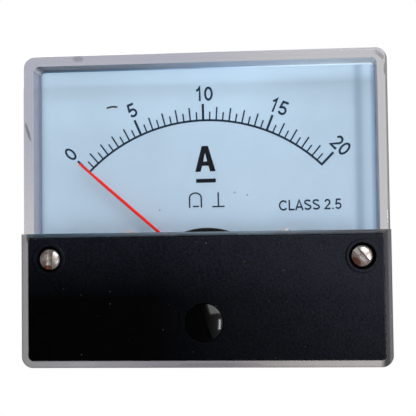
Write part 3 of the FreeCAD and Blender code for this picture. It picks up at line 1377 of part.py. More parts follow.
def build():
    """Build every piece of the meter and return them."""
    return [
        clear_cover(), front_plate(), cover_screws(), zero_adjuster(), case_base(), mounting_studs(),
        dial_plate(), dial_screws(), pointer_stops(),
        movement_frame(), frame_screws(), yoke_ring(), magnet_core(), core_spacers(),
        coil_loop("coil_former", "0", "dim.former_thick", "dim.former_wide"),
        coil_loop("moving_coil", "dim.former_thick", "dim.winding_thick", "dim.winding_wide"),
        pivot("front_pivot", COIL_FRONT, FRONT_CUP, "+"),
        pivot("rear_pivot", COIL_BACK, REAR_CUP, "-"),
        pointer_carrier(), pointer(), balance_weights(),
        hairspring("front_hairspring", SPRING_BACK_FACE),
        hairspring("rear_hairspring", REAR_SPRING_BACK),
        front_bridge(), rear_bridge(), bridge_screws(),
        front_jewel_screw(), rear_jewel_screw(), rear_lock_nut(), zero_lever(), rear_anchor(),
        shunt_strip(), lead_left(), lead_right(), series_resistor(),
        at_both_terminals("terminal_studs", terminal_stud),
        at_both_terminals("inner_washers", lambda name, x: flat_washer(TERMINAL_SEAT, name, x)),
        at_both_terminals("inner_nuts", lambda name, x: hex_nut(FIRST_NUT, name, x)),
        at_both_terminals("solder_tags", solder_tag),
        at_both_terminals("outer_washers", lambda name, x: flat_washer(OUTER_WASHER, name, x)),
        at_both_terminals("spring_washers", spring_washer),
        at_both_terminals("outer_nuts", lambda name, x: hex_nut(OUTER_NUT, name, x)),
    ]


def check(pieces):
    """Stop if any object failed or any piece isn't a sound solid."""
    doc.recompute()
    for item in doc.Objects:
        if "Invalid" in item.State or "Error" in item.State:
            raise RuntimeError(f"{item.Name} failed: {item.State}")
    for piece in pieces:
        if piece.Shape.isNull() or not piece.Shape.isValid() or not piece.Shape.Solids:
            raise RuntimeError(f"{piece.Label} has no sound solid")


def export(pieces):
    """Write each piece to its own file."""
    os.makedirs("parts", exist_ok=True)
    for piece in pieces:
        piece.Shape.exportStep(f"parts/{piece.Label}.step")
        print(f"{piece.Label}: {len(piece.Shape.Solids)} solid, {piece.Shape.Volume:.1f} mm3")


meter = build()
check(meter)
export(meter)
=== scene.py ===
import json
import math
from functools import cached_property
import bmesh
import bpy
from mathutils import Matrix, Vector
from mathutils.geometry import tessellate_polygon


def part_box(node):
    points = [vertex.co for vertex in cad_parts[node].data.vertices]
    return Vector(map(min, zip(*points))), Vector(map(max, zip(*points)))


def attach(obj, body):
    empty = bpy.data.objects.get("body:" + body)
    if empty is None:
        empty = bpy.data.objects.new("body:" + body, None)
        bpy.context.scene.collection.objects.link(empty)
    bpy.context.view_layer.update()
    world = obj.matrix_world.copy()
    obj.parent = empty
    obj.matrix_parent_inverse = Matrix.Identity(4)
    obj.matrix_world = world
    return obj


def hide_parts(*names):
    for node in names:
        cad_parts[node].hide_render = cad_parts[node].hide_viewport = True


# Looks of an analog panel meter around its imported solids.
# X to the right, Y towards the back, Z up. Sizes of the meter are in millimetres, and those of
# the floor, lamps and camera in metres; "forward" is the distance in front of the panel plane.

MM = 0.001

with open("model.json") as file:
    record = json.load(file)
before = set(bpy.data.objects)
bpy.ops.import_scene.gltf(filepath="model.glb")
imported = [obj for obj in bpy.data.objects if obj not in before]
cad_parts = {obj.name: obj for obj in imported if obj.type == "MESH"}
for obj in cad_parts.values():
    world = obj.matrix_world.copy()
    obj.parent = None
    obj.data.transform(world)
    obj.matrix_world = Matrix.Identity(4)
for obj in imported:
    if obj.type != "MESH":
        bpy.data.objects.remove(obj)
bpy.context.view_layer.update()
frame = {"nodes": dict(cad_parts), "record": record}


def metres(x_mm, forward_mm, z_mm):
    """A point in metres from millimetres right, forward and up."""
    return Vector((x_mm * MM, -forward_mm * MM, z_mm * MM))


def reach_of(node):
    """Lowest and highest corner of a node's box as (right, forward, up), in millimetres."""
    low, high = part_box(node)
    return (
        Vector((low.x, -high.y, low.z)) / MM,
        Vector((high.x, -low.y, high.z)) / MM,
    )


def joint_height(name):
    """Height of a joint of the record, in millimetres."""
    joints = frame["record"]["behaviour"]["joints"]
    found = next(joint for joint in joints if joint["name"] == name)
    return found["pos_m"][2] / MM


COVER_LOW, COVER_HIGH = reach_of("clear_cover")
PLATE_LOW, PLATE_HIGH = reach_of("front_plate")
DIAL_LOW, DIAL_HIGH = reach_of("dial_plate")
PIVOT_Z_MM = joint_height("pointer_swing")

# The dial stands clear of the cover's walls by a gap
DIAL_GAP_MM = 0.3
WALL_MM = COVER_HIGH.x - DIAL_HIGH.x - DIAL_GAP_MM
INNER_SIDE_MM = COVER_HIGH.x - WALL_MM
INNER_TOP_MM = COVER_HIGH.z - WALL_MM

# The base's posts end at the back of the window, and the black plate lies on its front
WINDOW_BACK_MM = reach_of("case_base")[1].y
WINDOW_FRONT_MM = PLATE_LOW.y

# The round cut-out in the dial has its centre a little below the pivot
CUTOUT_RADIUS_MM = 14.0
CUTOUT_DROP_MM = 2.9


# Materials

def srgb(red, green, blue):
    """A colour given as 0 to 255 on screen, as the linear colour that a shader takes."""
    def linear(level):
        level /= 255
        return level / 12.92 if level <= 0.04045 else ((level + 0.055) / 1.055) ** 2.4
    return (linear(red), linear(green), linear(blue), 1.0)


class Nodes:
    """Makes the nodes of one material or world and joins them."""

    def __init__(self, tree):
        self.tree = tree
        self.tree.nodes.clear()

    def add(self, kind, settings=None, **inputs):
        """Make a node; an underscore in an input's name stands for a space."""
        made = self.tree.nodes.new("ShaderNode" + kind)
        for key, setting in (settings or {}).items():
            setattr(made, key, setting)
        for key, value in inputs.items():
            self.feed(made.inputs[key.replace("_", " ")], value)
        return made

    def feed(self, socket, value):
        """Join a socket to an output, or set its constant."""
        if isinstance(value, bpy.types.NodeSocket):
            self.tree.links.new(value, socket)
        else:
            socket.default_value = value

    def math(self, operation, *values, clamp=False):
        """Output of a Math node."""
        made = self.add("Math", {"operation": operation, "use_clamp": clamp})
        for socket, value in zip(made.inputs, values):
            self.feed(socket, value)
        return made.outputs[0]

    def product(self, first, *others):
        """Masks or numbers multiplied together."""
        for other in others:
            first = self.math("MULTIPLY", first, other)
        return first

    def span(self, value, low, high, to_low=0.0, to_high=1.0, smooth=False):
        """Map a value from one range to another, held at the ends."""
        kind = "SMOOTHSTEP" if smooth else "LINEAR"
        made = self.add("MapRange", {"interpolation_type": kind, "clamp": True}, Value=value)
        for key, number in (("From Min", low), ("From Max", high), ("To Min", to_low),
                            ("To Max", to_high)):
            self.feed(made.inputs[key], number)
        return made.outputs["Result"]

    def either(self, share, first, second):
        """Mix two numbers."""
        made = self.add("Mix", {"data_type": "FLOAT"})
        for index, value in ((0, share), (2, first), (3, second)):
            self.feed(made.inputs[index], value)
        return made.outputs[0]

    def mix(self, share, first, second, blend="MIX"):
        """Mix two colours."""
        made = self.add("Mix", {"data_type": "RGBA", "blend_type": blend})
        for index, value in ((0, share), (6, first), (7, second)):
            self.feed(made.inputs[index], value)
        return made.outputs[2]

    def times(self, first, second):
        """One colour multiplied by another."""
        return self.mix(1.0, first, second, "MULTIPLY")

    def covered(self, shader, coats):
        """A shader under others, each given with the share that it covers."""
        for share, coat in coats:
            over = self.add("MixShader", Fac=share)
            self.feed(over.inputs[1], shader.outputs[0])
            self.feed(over.inputs[2], coat.outputs[0])
            shader = over
        return shader


# Values between which a soft noise field mostly lies
NOISE_LOW = 0.3
NOISE_HIGH = 0.7


class Surface(Nodes):
    """One procedural material, with masks that follow the object's own places."""

    def __init__(self, name):
        self.material = bpy.data.materials.new(name)
        self.material.use_nodes = True
        super().__init__(self.material.node_tree)
        self.place = self.add("TexCoord").outputs["Object"]
        self.output = self.add("OutputMaterial")

    def axis(self, name, sign=1.0):
        """One coordinate of the surface point, in millimetres."""
        split = self.add("SeparateXYZ", Vector=self.place)
        return self.math("MULTIPLY", split.outputs[name], sign / MM)

    @cached_property
    def across(self):
        """Millimetres to the right of the middle."""
        return self.axis("X")

    @cached_property
    def height(self):
        """Millimetres above the barrel's axis."""
        return self.axis("Z")

    @cached_property
    def forward(self):
        """Millimetres in front of the panel plane."""
        return self.axis("Y", -1.0)

    @cached_property
    def aside(self):
        """Millimetres to either side of the middle."""
        return self.math("ABSOLUTE", self.across)

    def band(self, value, start, full, end, none):
        """Mask that rises from start to full, and falls from end to none."""
        return self.product(self.span(value, start, full), self.span(value, end, none, 1.0, 0.0))

    def noise(self, cells_per_mm, detail=3.0, roughness=0.5):
        """Soft random field from 0 to 1."""
        made = self.add(
            "TexNoise", Vector=self.place, Scale=cells_per_mm / MM, Detail=detail,
            Roughness=roughness)
        return made.outputs["Fac"]

    def uneven(self, field, low, high):
        """Spread a noise field between two values."""
        return self.span(field, NOISE_LOW, NOISE_HIGH, low, high)

    def ramp(self, value, stops):
        """Colours or grey levels along a value, from (value, colour) stops."""
        low, high = stops[0][0], stops[-1][0]
        made = self.add("ValToRGB", Fac=self.span(value, low, high))
        points = made.color_ramp.elements
        while len(points) < len(stops):
            points.new(0.5)
        for point, (where, colour) in zip(points, stops):
            point.position = (where - low) / (high - low)
            point.color = colour if isinstance(colour, tuple) else (colour, colour, colour, 1.0)
        return made.outputs["Color"]

    def blot(self, x_mm, z_mm, long_mm, wide_mm, lean=0.0, ragged=0.0, edge=0.5):
        """Mask of an oval mark on the front, by its half sizes: 1 inside, 0 outside."""
        ways = (
            (Vector((math.cos(lean), 0, math.sin(lean))), long_mm),
            (Vector((-math.sin(lean), 0, math.cos(lean))), wide_mm),
        )
        shift = self.add("VectorMath", {"operation": "SUBTRACT"})
        self.feed(shift.inputs[0], self.place)
        self.feed(shift.inputs[1], metres(x_mm, 0, z_mm))
        ragged_cells_per_mm = 1.2
        squares = []
        for way, half_mm in ways:
            along = self.add("VectorMath", {"operation": "DOT_PRODUCT"})
            self.feed(along.inputs[0], shift.outputs[0])
            self.feed(along.inputs[1], way)
            share = self.math("DIVIDE", along.outputs["Value"], half_mm * MM)
            squares.append(self.product(share, share))
        reach = self.math("SQRT", self.math("ADD", *squares))
        if ragged:
            field = self.noise(ragged_cells_per_mm)
            wobble = self.product(self.math("SUBTRACT", field, 0.5), ragged)
            reach = self.math("ADD", reach, wobble)
        return self.span(reach, edge, 1.0, 1.0, 0.0, smooth=True)

    def bump(self, height, strength, distance_mm):
        """Normal of a bumpy surface."""
        made = self.add("Bump", Height=height, Strength=strength, Distance=distance_mm * MM)
        return made.outputs["Normal"]

    def finish(self, shader):
        """Show a shader on the surface."""
        self.feed(self.output.inputs["Surface"], shader.outputs[0])
        return self.material

    def shade(self, **inputs):
        """Finish with a Principled shader."""
        return self.finish(self.add("BsdfPrincipled", **inputs))


def plain_finish(name, colour, rough, metallic=0.0, cloud=0.12, grain=0.15, grain_cells=12.0, level=0.5):
    """A metal or plastic with a slightly uneven colour, gloss and grain."""
    s = Surface(name)
    clouds_per_mm = 0.5
    grain_mm = 0.02
    rough_spread = 0.15
    field = s.noise(clouds_per_mm)
    tone = s.add("VectorMath", {"operation": "SCALE"}, Scale=s.uneven(field, 1 - cloud, 1 + cloud))
    s.feed(tone.inputs[0], colour[:3])
    return s.shade(
        Base_Color=tone.outputs[0], Metallic=metallic,
        Roughness=s.uneven(field, rough * (1 - rough_spread), rough * (1 + rough_spread)),
        Specular_IOR_Level=level,
        Normal=s.bump(s.noise(grain_cells, detail=2.0), grain, grain_mm))


def glass_tint(s):
    """Colour of the cover's acrylic: darker where it is seen along its walls."""
    head_on = (0.985, 0.99, 1.0, 1.0)
    sidelong = (0.12, 0.13, 0.18, 1.0)
    edge_on = (0.02, 0.025, 0.04, 1.0)
    grazing = s.add("LayerWeight", Blend=0.5).outputs["Facing"]
    tint = s.ramp(grazing, [
        (0.0, head_on), (0.45, head_on), (0.75, sidelong), (0.82, edge_on), (1.0, edge_on),
    ])
    # The walls' back ends are dull from grinding, and painted with the light seen through the walls:
    # darker and bluer at the upper left, warmer elsewhere
    bluer = (0.48, 0.46, 0.50, 1.0)
    warmer = (0.74, 0.66, 0.58, 1.0)
    per_right_mm, per_up_mm = 0.01, -0.017
    slope = s.math("ADD", s.product(s.across, per_right_mm), s.product(s.height, per_up_mm))
    back_end_light = s.mix(s.span(slope, -0.66, -0.31, smooth=True), bluer, warmer)
    return s.mix(s.span(s.forward, 0.05, 0.15, 1.0, 0.0), tint, back_end_light)


def glass(s):
    """Clear acrylic with faint smears, and a dull corner at the upper right."""
    polish, smeared, dulled = 0.015, 0.05, 0.35
    smear = s.span(s.noise(0.15, detail=4.0, roughness=0.6), 0.45, 0.75, 0.0, smeared)
    corner = s.product(s.span(s.across, COVER_HIGH.x - 2.4, COVER_HIGH.x - 1.0),
                       s.span(s.height, COVER_HIGH.z - 2.4, COVER_HIGH.z - 1.0))
    rough = s.math("ADD", s.product(corner, dulled), s.math("ADD", smear, polish))
    return s.add("BsdfPrincipled", Base_Color=glass_tint(s), IOR=1.49, Transmission_Weight=1.0,
                 Roughness=rough)


def inner_wall_light(s):
    """A dull coat of painted light and shade inside the walls: the top is darkest at its left, the right
    is only faint.
    """
    top_wall_light = s.ramp(s.across, [
        (-33.0, srgb(90, 86, 94)), (-26.0, srgb(100, 100, 108)), (-14.0, srgb(126, 130, 138)),
        (6.0, srgb(190, 206, 226)), (18.0, srgb(235, 242, 250)), (33.0, srgb(250, 252, 255)),
    ])
    at_top = s.product(
        s.band(s.height, INNER_TOP_MM - 0.5, INNER_TOP_MM - 0.2, INNER_TOP_MM + 0.1, INNER_TOP_MM + 0.3),
        s.span(s.aside, INNER_SIDE_MM - 0.05, INNER_SIDE_MM + 0.05, 1.0, 0.0))
    at_right = s.band(
        s.across, INNER_SIDE_MM - 0.3, INNER_SIDE_MM - 0.1, INNER_SIDE_MM + 0.1, INNER_SIDE_MM + 0.3)
    inside = s.band(
        s.forward, DIAL_HIGH.y - 0.4, DIAL_HIGH.y - 0.2, WINDOW_BACK_MM - 0.2, WINDOW_BACK_MM - 0.05)
    top_share, right_share = 0.65, 0.45
    share = s.math("MAXIMUM", s.product(at_top, top_share), s.product(at_right, right_share))
    coat = s.add("BsdfPrincipled", Base_Color=s.mix(at_right, top_wall_light, srgb(236, 216, 200)),
                 Roughness=0.6, Specular_IOR_Level=0.1)
    return s.product(inside, share), coat


def backing_shade(s):
    """Black painted on the plinth behind its plate, as shade where the acrylic is clear."""
    behind = s.band(s.height, PLATE_LOW.z + 0.02, PLATE_LOW.z + 0.22, PLATE_HIGH.z + 0.06,
                    PLATE_HIGH.z + 0.13)
    between = s.span(s.aside, PLATE_HIGH.x - 0.32, PLATE_HIGH.x - 0.12, 1.0, 0.0)
    in_front = s.span(s.forward, WINDOW_BACK_MM + 0.1, WINDOW_BACK_MM + 0.3)
    coat = s.add("BsdfPrincipled", Base_Color=srgb(6, 6, 8), Roughness=0.6, Specular_IOR_Level=0.1)
    return s.product(behind, between, in_front), coat


def rim_light_and_shade(s):
    """Dull rim of the plinth with painted light and shade: teal and brightest at the middle of its top,
    where the dial's light is painted in, plain grey elsewhere.
    """
    top_rim_light = s.ramp(s.across, [
        (-34.0, srgb(74, 94, 110)), (-28.0, srgb(72, 94, 111)), (-17.0, srgb(94, 115, 133)),
        (0.0, srgb(136, 152, 168)), (10.0, srgb(142, 158, 176)), (18.0, srgb(124, 134, 147)),
        (25.0, srgb(108, 112, 119)), (34.0, srgb(98, 98, 100)),
    ])
    # Painted shade: the top darkens towards the plate, by the height above the plate's edge
    levels = ((-0.07, 0.03), (0.08, 0.14), (0.23, 0.34), (0.43, 0.60), (0.63, 0.95), (0.78, 1.0))
    fall = s.ramp(s.height, [(PLATE_HIGH.z + above, level) for above, level in levels])
    # Painted light on the sides and bottom, with a dark strip of painted shade at the right beside the
    # plate
    low_rim_light = s.ramp(s.across, [
        (-35.0, srgb(166, 162, 163)), (-24.0, srgb(180, 178, 183)), (-8.0, srgb(154, 149, 156)),
        (4.0, srgb(156, 150, 156)), (20.0, srgb(200, 193, 188)), (32.6, srgb(208, 201, 196)),
        (33.4, srgb(28, 30, 36)), (34.2, srgb(40, 42, 50)), (34.5, srgb(124, 124, 126)),
        (35.0, srgb(122, 121, 122)),
    ])
    on_top = s.product(
        s.span(s.height, PLATE_HIGH.z - 1.07, PLATE_HIGH.z - 0.27),
        s.span(s.aside, COVER_HIGH.x - 1.3, COVER_HIGH.x - 0.9, 1.0, 0.0))
    coat = s.add("BsdfPrincipled", Base_Color=s.mix(on_top, low_rim_light, s.times(top_rim_light, fall)),
                 Roughness=0.5, Specular_IOR_Level=0.2)
    return s.span(s.forward, COVER_HIGH.y - 1.0, COVER_HIGH.y - 0.8, 0.0, 0.9), coat


def smudges(s):
    """Smudges on the front of the top and side walls, and the right edge rubbed dull all along."""
    marks = s.product(s.blot(-24.1, 32.3, 1.4, 0.8, ragged=0.5), 0.35)
    for share, smudge in (
        (0.65, s.blot(-34.0, 18.3, 2.4, 0.34, lean=-1.28)),
        (0.60, s.blot(34.6, 28.9, 1.7, 0.35, lean=1.5)),
    ):
        marks = s.math("ADD", marks, s.product(smudge, share), clamp=True)
    marks = s.product(marks, s.span(s.forward, WINDOW_FRONT_MM - 0.6, WINDOW_FRONT_MM - 0.3))
    edge_share = 0.8
    edge = s.product(s.span(s.across, COVER_HIGH.x - 0.55, COVER_HIGH.x - 0.2),
                     s.span(s.forward, WINDOW_FRONT_MM - 1.1, WINDOW_FRONT_MM - 0.8))
    coat = s.add("BsdfPrincipled", Base_Color=srgb(100, 95, 98), Roughness=0.6)
    return s.math("MAXIMUM", marks, s.product(edge, edge_share)), coat


def clear_plastic():
    """The clear cover, with its dull and dirty places, painted light and shade on its walls and rim, and
    black painted behind the plate; shadows pass through it.
    """
    s = Surface("clear_plastic")
    wear_and_painted_light = s.covered(glass(s), [inner_wall_light(s), backing_shade(s), rim_light_and_shade(s), smudges(s)])
    open_to_light = s.add("BsdfTransparent", Color=(0.98, 0.98, 0.99, 1.0))
    shadow = s.add("LightPath").outputs["Is Shadow Ray"]
    depth = s.add("VolumeAbsorption", Color=(0.56, 0.60, 0.70, 1.0), Density=90.0)
    s.feed(s.output.inputs["Volume"], depth.outputs[0])
    return s.finish(s.covered(wear_and_painted_light, [(shadow, open_to_light)]))


def black_plate():
    """Matt black with a fine leather grain and specks of dust. To the right and at the top, handling
    made it glossier, and a painted sheen makes it greyer and bluer there.
    """
    s = Surface("black_plate")
    dust_cells_per_mm, grain_cells_per_mm = 0.9, 3.2
    dust_share, smear_share = 0.65, 0.10
    dust_cells = s.add("TexVoronoi", {"feature": "F1"}, Vector=s.place, Scale=dust_cells_per_mm / MM)
    random = s.add("SeparateColor", Color=dust_cells.outputs["Color"]).outputs[0]
    near = s.span(dust_cells.outputs["Distance"], 0.05, 0.09, 1.0, 0.0)
    specks = s.product(near, s.span(random, 0.80, 0.86))
    dust = s.math("MAXIMUM", specks, s.blot(0.47, -3.65, 0.16, 0.16))
    smear = s.product(s.blot(14.98, -8.87, 0.5, 0.4, edge=0.2), smear_share)
    dirt = s.math("MAXIMUM", s.product(dust, dust_share), smear)
    to_right = s.product(s.span(s.across, -10.0, 34.0, 0.0, 0.85),
                         s.span(s.height, -25.0, -12.0, 0.55, 1.0))
    polish_and_sheen = s.math("ADD", to_right, s.span(s.height, -14.0, -2.5, 0.0, 0.6), clamp=True)
    streaks = s.span(s.noise(1.8, detail=4.0, roughness=0.8), 0.38, 0.62, 0.0, 2.2)
    # Painted sheen: greyer and bluer to the right and at the top, in streaks
    black = s.mix(s.product(polish_and_sheen, streaks), srgb(1, 1, 2), srgb(20, 25, 40))
    leather = s.add("TexVoronoi", {"feature": "SMOOTH_F1"}, Vector=s.place,
                    Scale=grain_cells_per_mm / MM)
    grain = s.math("ADD", leather.outputs["Distance"], s.noise(5.0))
    return s.shade(Base_Color=s.mix(dirt, black, srgb(120, 120, 125)),
                   Roughness=s.uneven(s.noise(0.3), 0.42, 0.52),
                   Specular_IOR_Level=s.span(polish_and_sheen, 0.0, 1.0, 0.06, 0.36),
                   Normal=s.bump(grain, strength=0.5, distance_mm=0.05))


def dial_paint():
    """Pale blue enamel with painted light and shade: a little brighter at the top and low down, with
    soft light and dark bands near its edges.
    """
    s = Surface("dial_paint")
    # Painted light: lighter low down than in the middle
    base = s.ramp(s.height, [
        (-3.0, srgb(195, 217, 233)), (1.0, srgb(195, 216, 230)), (6.0, srgb(192, 213, 226)),
        (18.0, srgb(189, 211, 224)), (31.0, srgb(191, 213, 225)),
    ])
    # Painted light and shade from the cover's walls: soft bands along the top, with a deeper dark band
    # towards the right
    top = s.ramp(s.height, [
        (18.0, 1.0), (22.0, 1.05), (24.6, 1.04), (26.3, 0.96), (27.6, 0.95), (28.6, 1.10),
        (29.8, 1.16), (30.5, 1.18), (30.9, 1.14),
    ])
    right_top = s.ramp(s.height, [
        (10.0, 1.0), (22.0, 0.95), (26.0, 0.86), (27.6, 0.79), (28.8, 0.96), (29.8, 1.06),
        (30.5, 1.06), (30.9, 1.04),
    ])
    # Painted shade at the left edge, and painted dark and light bands near the right wall
    side = s.ramp(s.across, [
        (-32.9, 0.66), (-32.4, 0.86), (-31.6, 0.95), (-20.0, 0.96), (-8.0, 1.0), (8.0, 1.03),
        (20.0, 0.99), (28.2, 0.99), (28.9, (0.90, 0.92, 0.95, 1.0)), (29.5, (0.68, 0.71, 0.75, 1.0)),
        (30.2, (0.66, 0.69, 0.74, 1.0)), (30.8, (0.88, 0.90, 0.92, 1.0)), (31.3, 1.00), (32.1, 1.05),
        (32.5, (0.74, 0.78, 0.86, 1.0)), (32.9, (0.56, 0.60, 0.70, 1.0)),
    ])
    to_right = s.span(s.across, 6.0, 24.0, smooth=True)
    bands = s.times(s.mix(to_right, top, right_top), side)
    mottle = s.uneven(s.noise(0.12, detail=2.0), 0.97, 1.02)
    colour = s.times(s.times(base, bands), mottle)
    # Painted shade: a thin black ring round the movement's cut-out widens the dark of the opening
    off_centre = s.math("SUBTRACT", s.height, PIVOT_Z_MM - CUTOUT_DROP_MM)
    reach = s.math("SQRT", s.math("ADD", s.product(s.across, s.across),
                                  s.product(off_centre, off_centre)))
    edge_wide, edge_soft = 0.14, 0.06
    edge_end = CUTOUT_RADIUS_MM + edge_wide
    edge = s.span(reach, edge_end, edge_end + edge_soft, 1.0, 0.0)
    return s.shade(Base_Color=s.mix(edge, colour, srgb(10, 14, 18)), Roughness=0.45,
                   Specular_IOR_Level=0.3,
                   Normal=s.bump(s.noise(8.0), strength=0.05, distance_mm=0.01))


def nickel():
    """Nickel plating, brown in patches."""
    s = Surface("nickel")
    patches = s.product(s.span(s.noise(0.7, detail=2.0), 0.46, 0.60), 0.6)
    # The right cover screw is brown below its slot, the left one at its lower edge
    for brown_spot in (s.blot(28.5, -7.4, 1.5, 0.9, lean=-0.75), s.blot(-30.1, -8.0, 1.3, 0.7)):
        patches = s.math("MAXIMUM", patches, brown_spot)
    colour = s.mix(patches, srgb(248, 244, 239), srgb(170, 114, 94))
    scratches = s.noise(3.0, roughness=0.6)
    return s.shade(Base_Color=colour, Metallic=0.65, Roughness=s.uneven(scratches, 0.22, 0.40),
                   Normal=s.bump(scratches, strength=0.15, distance_mm=0.02))


def die_cast():
    """Grey casting, painted black at the top as shade, where it shows through the dial's cut-out."""
    s = Surface("die_cast")
    top = reach_of("movement_frame")[1].z
    grey = s.mix(s.uneven(s.noise(0.5), 0.0, 1.0), srgb(168, 168, 166), srgb(186, 186, 184))
    # Painted shade: the top of the casting is black
    black = s.span(s.height, top - 3.7, top - 3.1)
    return s.shade(Base_Color=s.mix(black, grey, srgb(14, 14, 15)), Roughness=0.5,
                   Metallic=s.span(black, 0.0, 1.0, 0.9, 0.0), Specular_IOR_Level=0.2,
                   Normal=s.bump(s.noise(4.0, detail=2.0), strength=0.5, distance_mm=0.02))


def copper_winding():
    """Fine turns of enamelled wire, side by side across the coil as it stands at rest."""
    s = Surface("copper_wire")
    turns_per_mm = 9.0
    coil_lean = math.radians(48.77)
    across = s.add("VectorMath", {"operation": "DOT_PRODUCT"})
    s.feed(across.inputs[0], s.place)
    s.feed(across.inputs[1], (math.sin(coil_lean), 0.0, math.cos(coil_lean)))
    phase = s.product(across.outputs["Value"], 2 * math.pi * turns_per_mm / MM)
    wave = s.span(s.math("SINE", phase), -1.0, 1.0)
    return s.shade(Base_Color=s.mix(wave, srgb(116, 44, 20), srgb(206, 112, 60)), Metallic=0.7,
                   Roughness=0.32, Normal=s.bump(wave, strength=0.6, distance_mm=0.03))


def printing(name, colour):
    """Printing ink, slightly uneven."""
    return plain_finish(name, colour, rough=0.6, cloud=0.08, grain=0.05, level=0.05)


FINISHES = {
    "clear_plastic": clear_plastic(),
    "black_plate": black_plate(),
    "nickel": nickel(),
    "dial_paint": dial_paint(),
    "die_cast": die_cast(),
    "copper_wire": copper_winding(),
}
PLAIN_FINISHES = {
    "black_case": dict(colour=srgb(34, 34, 36), rough=0.38, grain=0.12, cloud=0.1),
    "black_gloss": dict(colour=srgb(3, 3, 5), rough=0.12, grain=0.02, cloud=0.1, level=0.32),
    "zinc_steel": dict(colour=srgb(196, 198, 200), rough=0.3, metallic=1.0, grain=0.2),
    "soft_iron": dict(colour=srgb(16, 16, 18), rough=0.55, grain=0.3, level=0.2),
    "magnet": dict(colour=srgb(24, 24, 26), rough=0.5, grain=0.4),
    "brass": dict(colour=srgb(214, 176, 96), rough=0.26, metallic=1.0, cloud=0.18, grain=0.2),
    "bronze": dict(colour=srgb(196, 136, 84), rough=0.3, metallic=1.0),
    "aluminium": dict(colour=srgb(206, 207, 208), rough=0.3, metallic=1.0),
    "pivot_steel": dict(colour=srgb(182, 184, 190), rough=0.18, metallic=1.0, grain=0.05),
    "red_paint": dict(colour=srgb(255, 24, 8), rough=0.5, cloud=0.04, grain=0.05, level=0.1),
    "shunt_alloy": dict(colour=srgb(190, 150, 120), rough=0.34, metallic=1.0, cloud=0.2, grain=0.2),
    "lead_insulation": dict(colour=srgb(150, 24, 22), rough=0.32, grain=0.08),
    "resistor_body": dict(colour=srgb(70, 110, 66), rough=0.3, grain=0.3, grain_cells=3.0),
}
for slot_name, looks in PLAIN_FINISHES.items():
    FINISHES[slot_name] = plain_finish(slot_name, **looks)

for part in frame["record"]["subparts"]:
    mesh = frame["nodes"][part["node"]].data
    mesh.materials.clear()
    mesh.materials.append(FINISHES[part["material_slot"]])


# Pieces

def add_piece(name, vertices, faces, material, body="case"):
    """Make a mesh object that rides on a body."""
    mesh = bpy.data.meshes.new(name)
    mesh.from_pydata([tuple(v) for v in vertices], [], faces)
    mesh.validate()
    mesh.materials.append(material)
    made = bpy.data.objects.new(name, mesh)
    bpy.context.scene.collection.objects.link(made)
    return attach(made, body)


def slab(name, shapes, material, back_mm, front_mm):
    """Turn flat shapes, each an outline and its holes, into one piece with a thickness."""
    vertices = []
    faces = []
    for loops in shapes:
        flat = [[Vector((x, z, 0)) for x, z in loop] for loop in loops]
        start = len(vertices)
        count = sum(len(loop) for loop in loops)
        for forward in (front_mm, back_mm):
            vertices += [metres(x, forward, z) for loop in loops for x, z in loop]
        for a, b, c in tessellate_polygon(flat):
            faces.append((start + a, start + b, start + c))
            faces.append((start + count + c, start + count + b, start + count + a))
        first = start
        for loop in loops:
            for index in range(len(loop)):
                here = first + index
                after = first + (index + 1) % len(loop)
                faces.append((here, after, count + after, count + here))
            first += len(loop)
    made = add_piece(name, vertices, faces, material)
    turn_outward(made.data)
    return made


def turn_outward(mesh):
    """Make every face of closed shapes look outward."""
    work = bmesh.new()
    work.from_mesh(mesh)
    bmesh.ops.recalc_face_normals(work, faces=work.faces)
    work.to_mesh(mesh)
    work.free()


# Least cosine of half a corner's turn, which keeps a sharp corner's mitre short
MITRE_LIMIT = 0.5


def ribbon(points, width, closed=False):
    """Outline of a stroke with mitred corners along points."""
    count = len(points)
    left = []
    right = []
    for index, (x, z) in enumerate(points):
        before = points[(index - 1) % count] if closed or index else None
        after = points[(index + 1) % count] if closed or index < count - 1 else None
        way_in = Vector((x - before[0], z - before[1])).normalized() if before else None
        way_out = Vector((after[0] - x, after[1] - z)).normalized() if after else None
        along = ((way_in or way_out) + (way_out or way_in)).normalized()
        lean = along.dot(way_out or way_in)
        reach = width / 2 / max(lean, MITRE_LIMIT)
        side = Vector((-along.y, along.x)) * reach
        left.append((x + side.x, z + side.y))
        right.append((x - side.x, z - side.y))
    if closed:
        return [left, right]
    return [left + right[::-1]]


def arc(x, z, radius_x, radius_z, start, end, steps=14):
    """Points of an oval arc; angles in degrees, 0 to the right and 90 up."""
    turns = [math.radians(start + (end - start) * k / steps) for k in range(steps + 1)]
    return [(x + radius_x * math.cos(a), z + radius_z * math.sin(a)) for a in turns]


def placed(loops, x, z, lean, scale=1.0, stretch=1.0):
    """Scale flat loops, stretch their width, turn them clockwise by degrees and move them."""
    a = math.radians(lean)
    cos_a, sin_a = math.cos(a), math.sin(a)
    result = []
    for loop in loops:
        points = [(u * scale * stretch, v * scale) for u, v in loop]
        result.append([(x + u * cos_a + v * sin_a, z - u * sin_a + v * cos_a) for u, v in points])
    return result


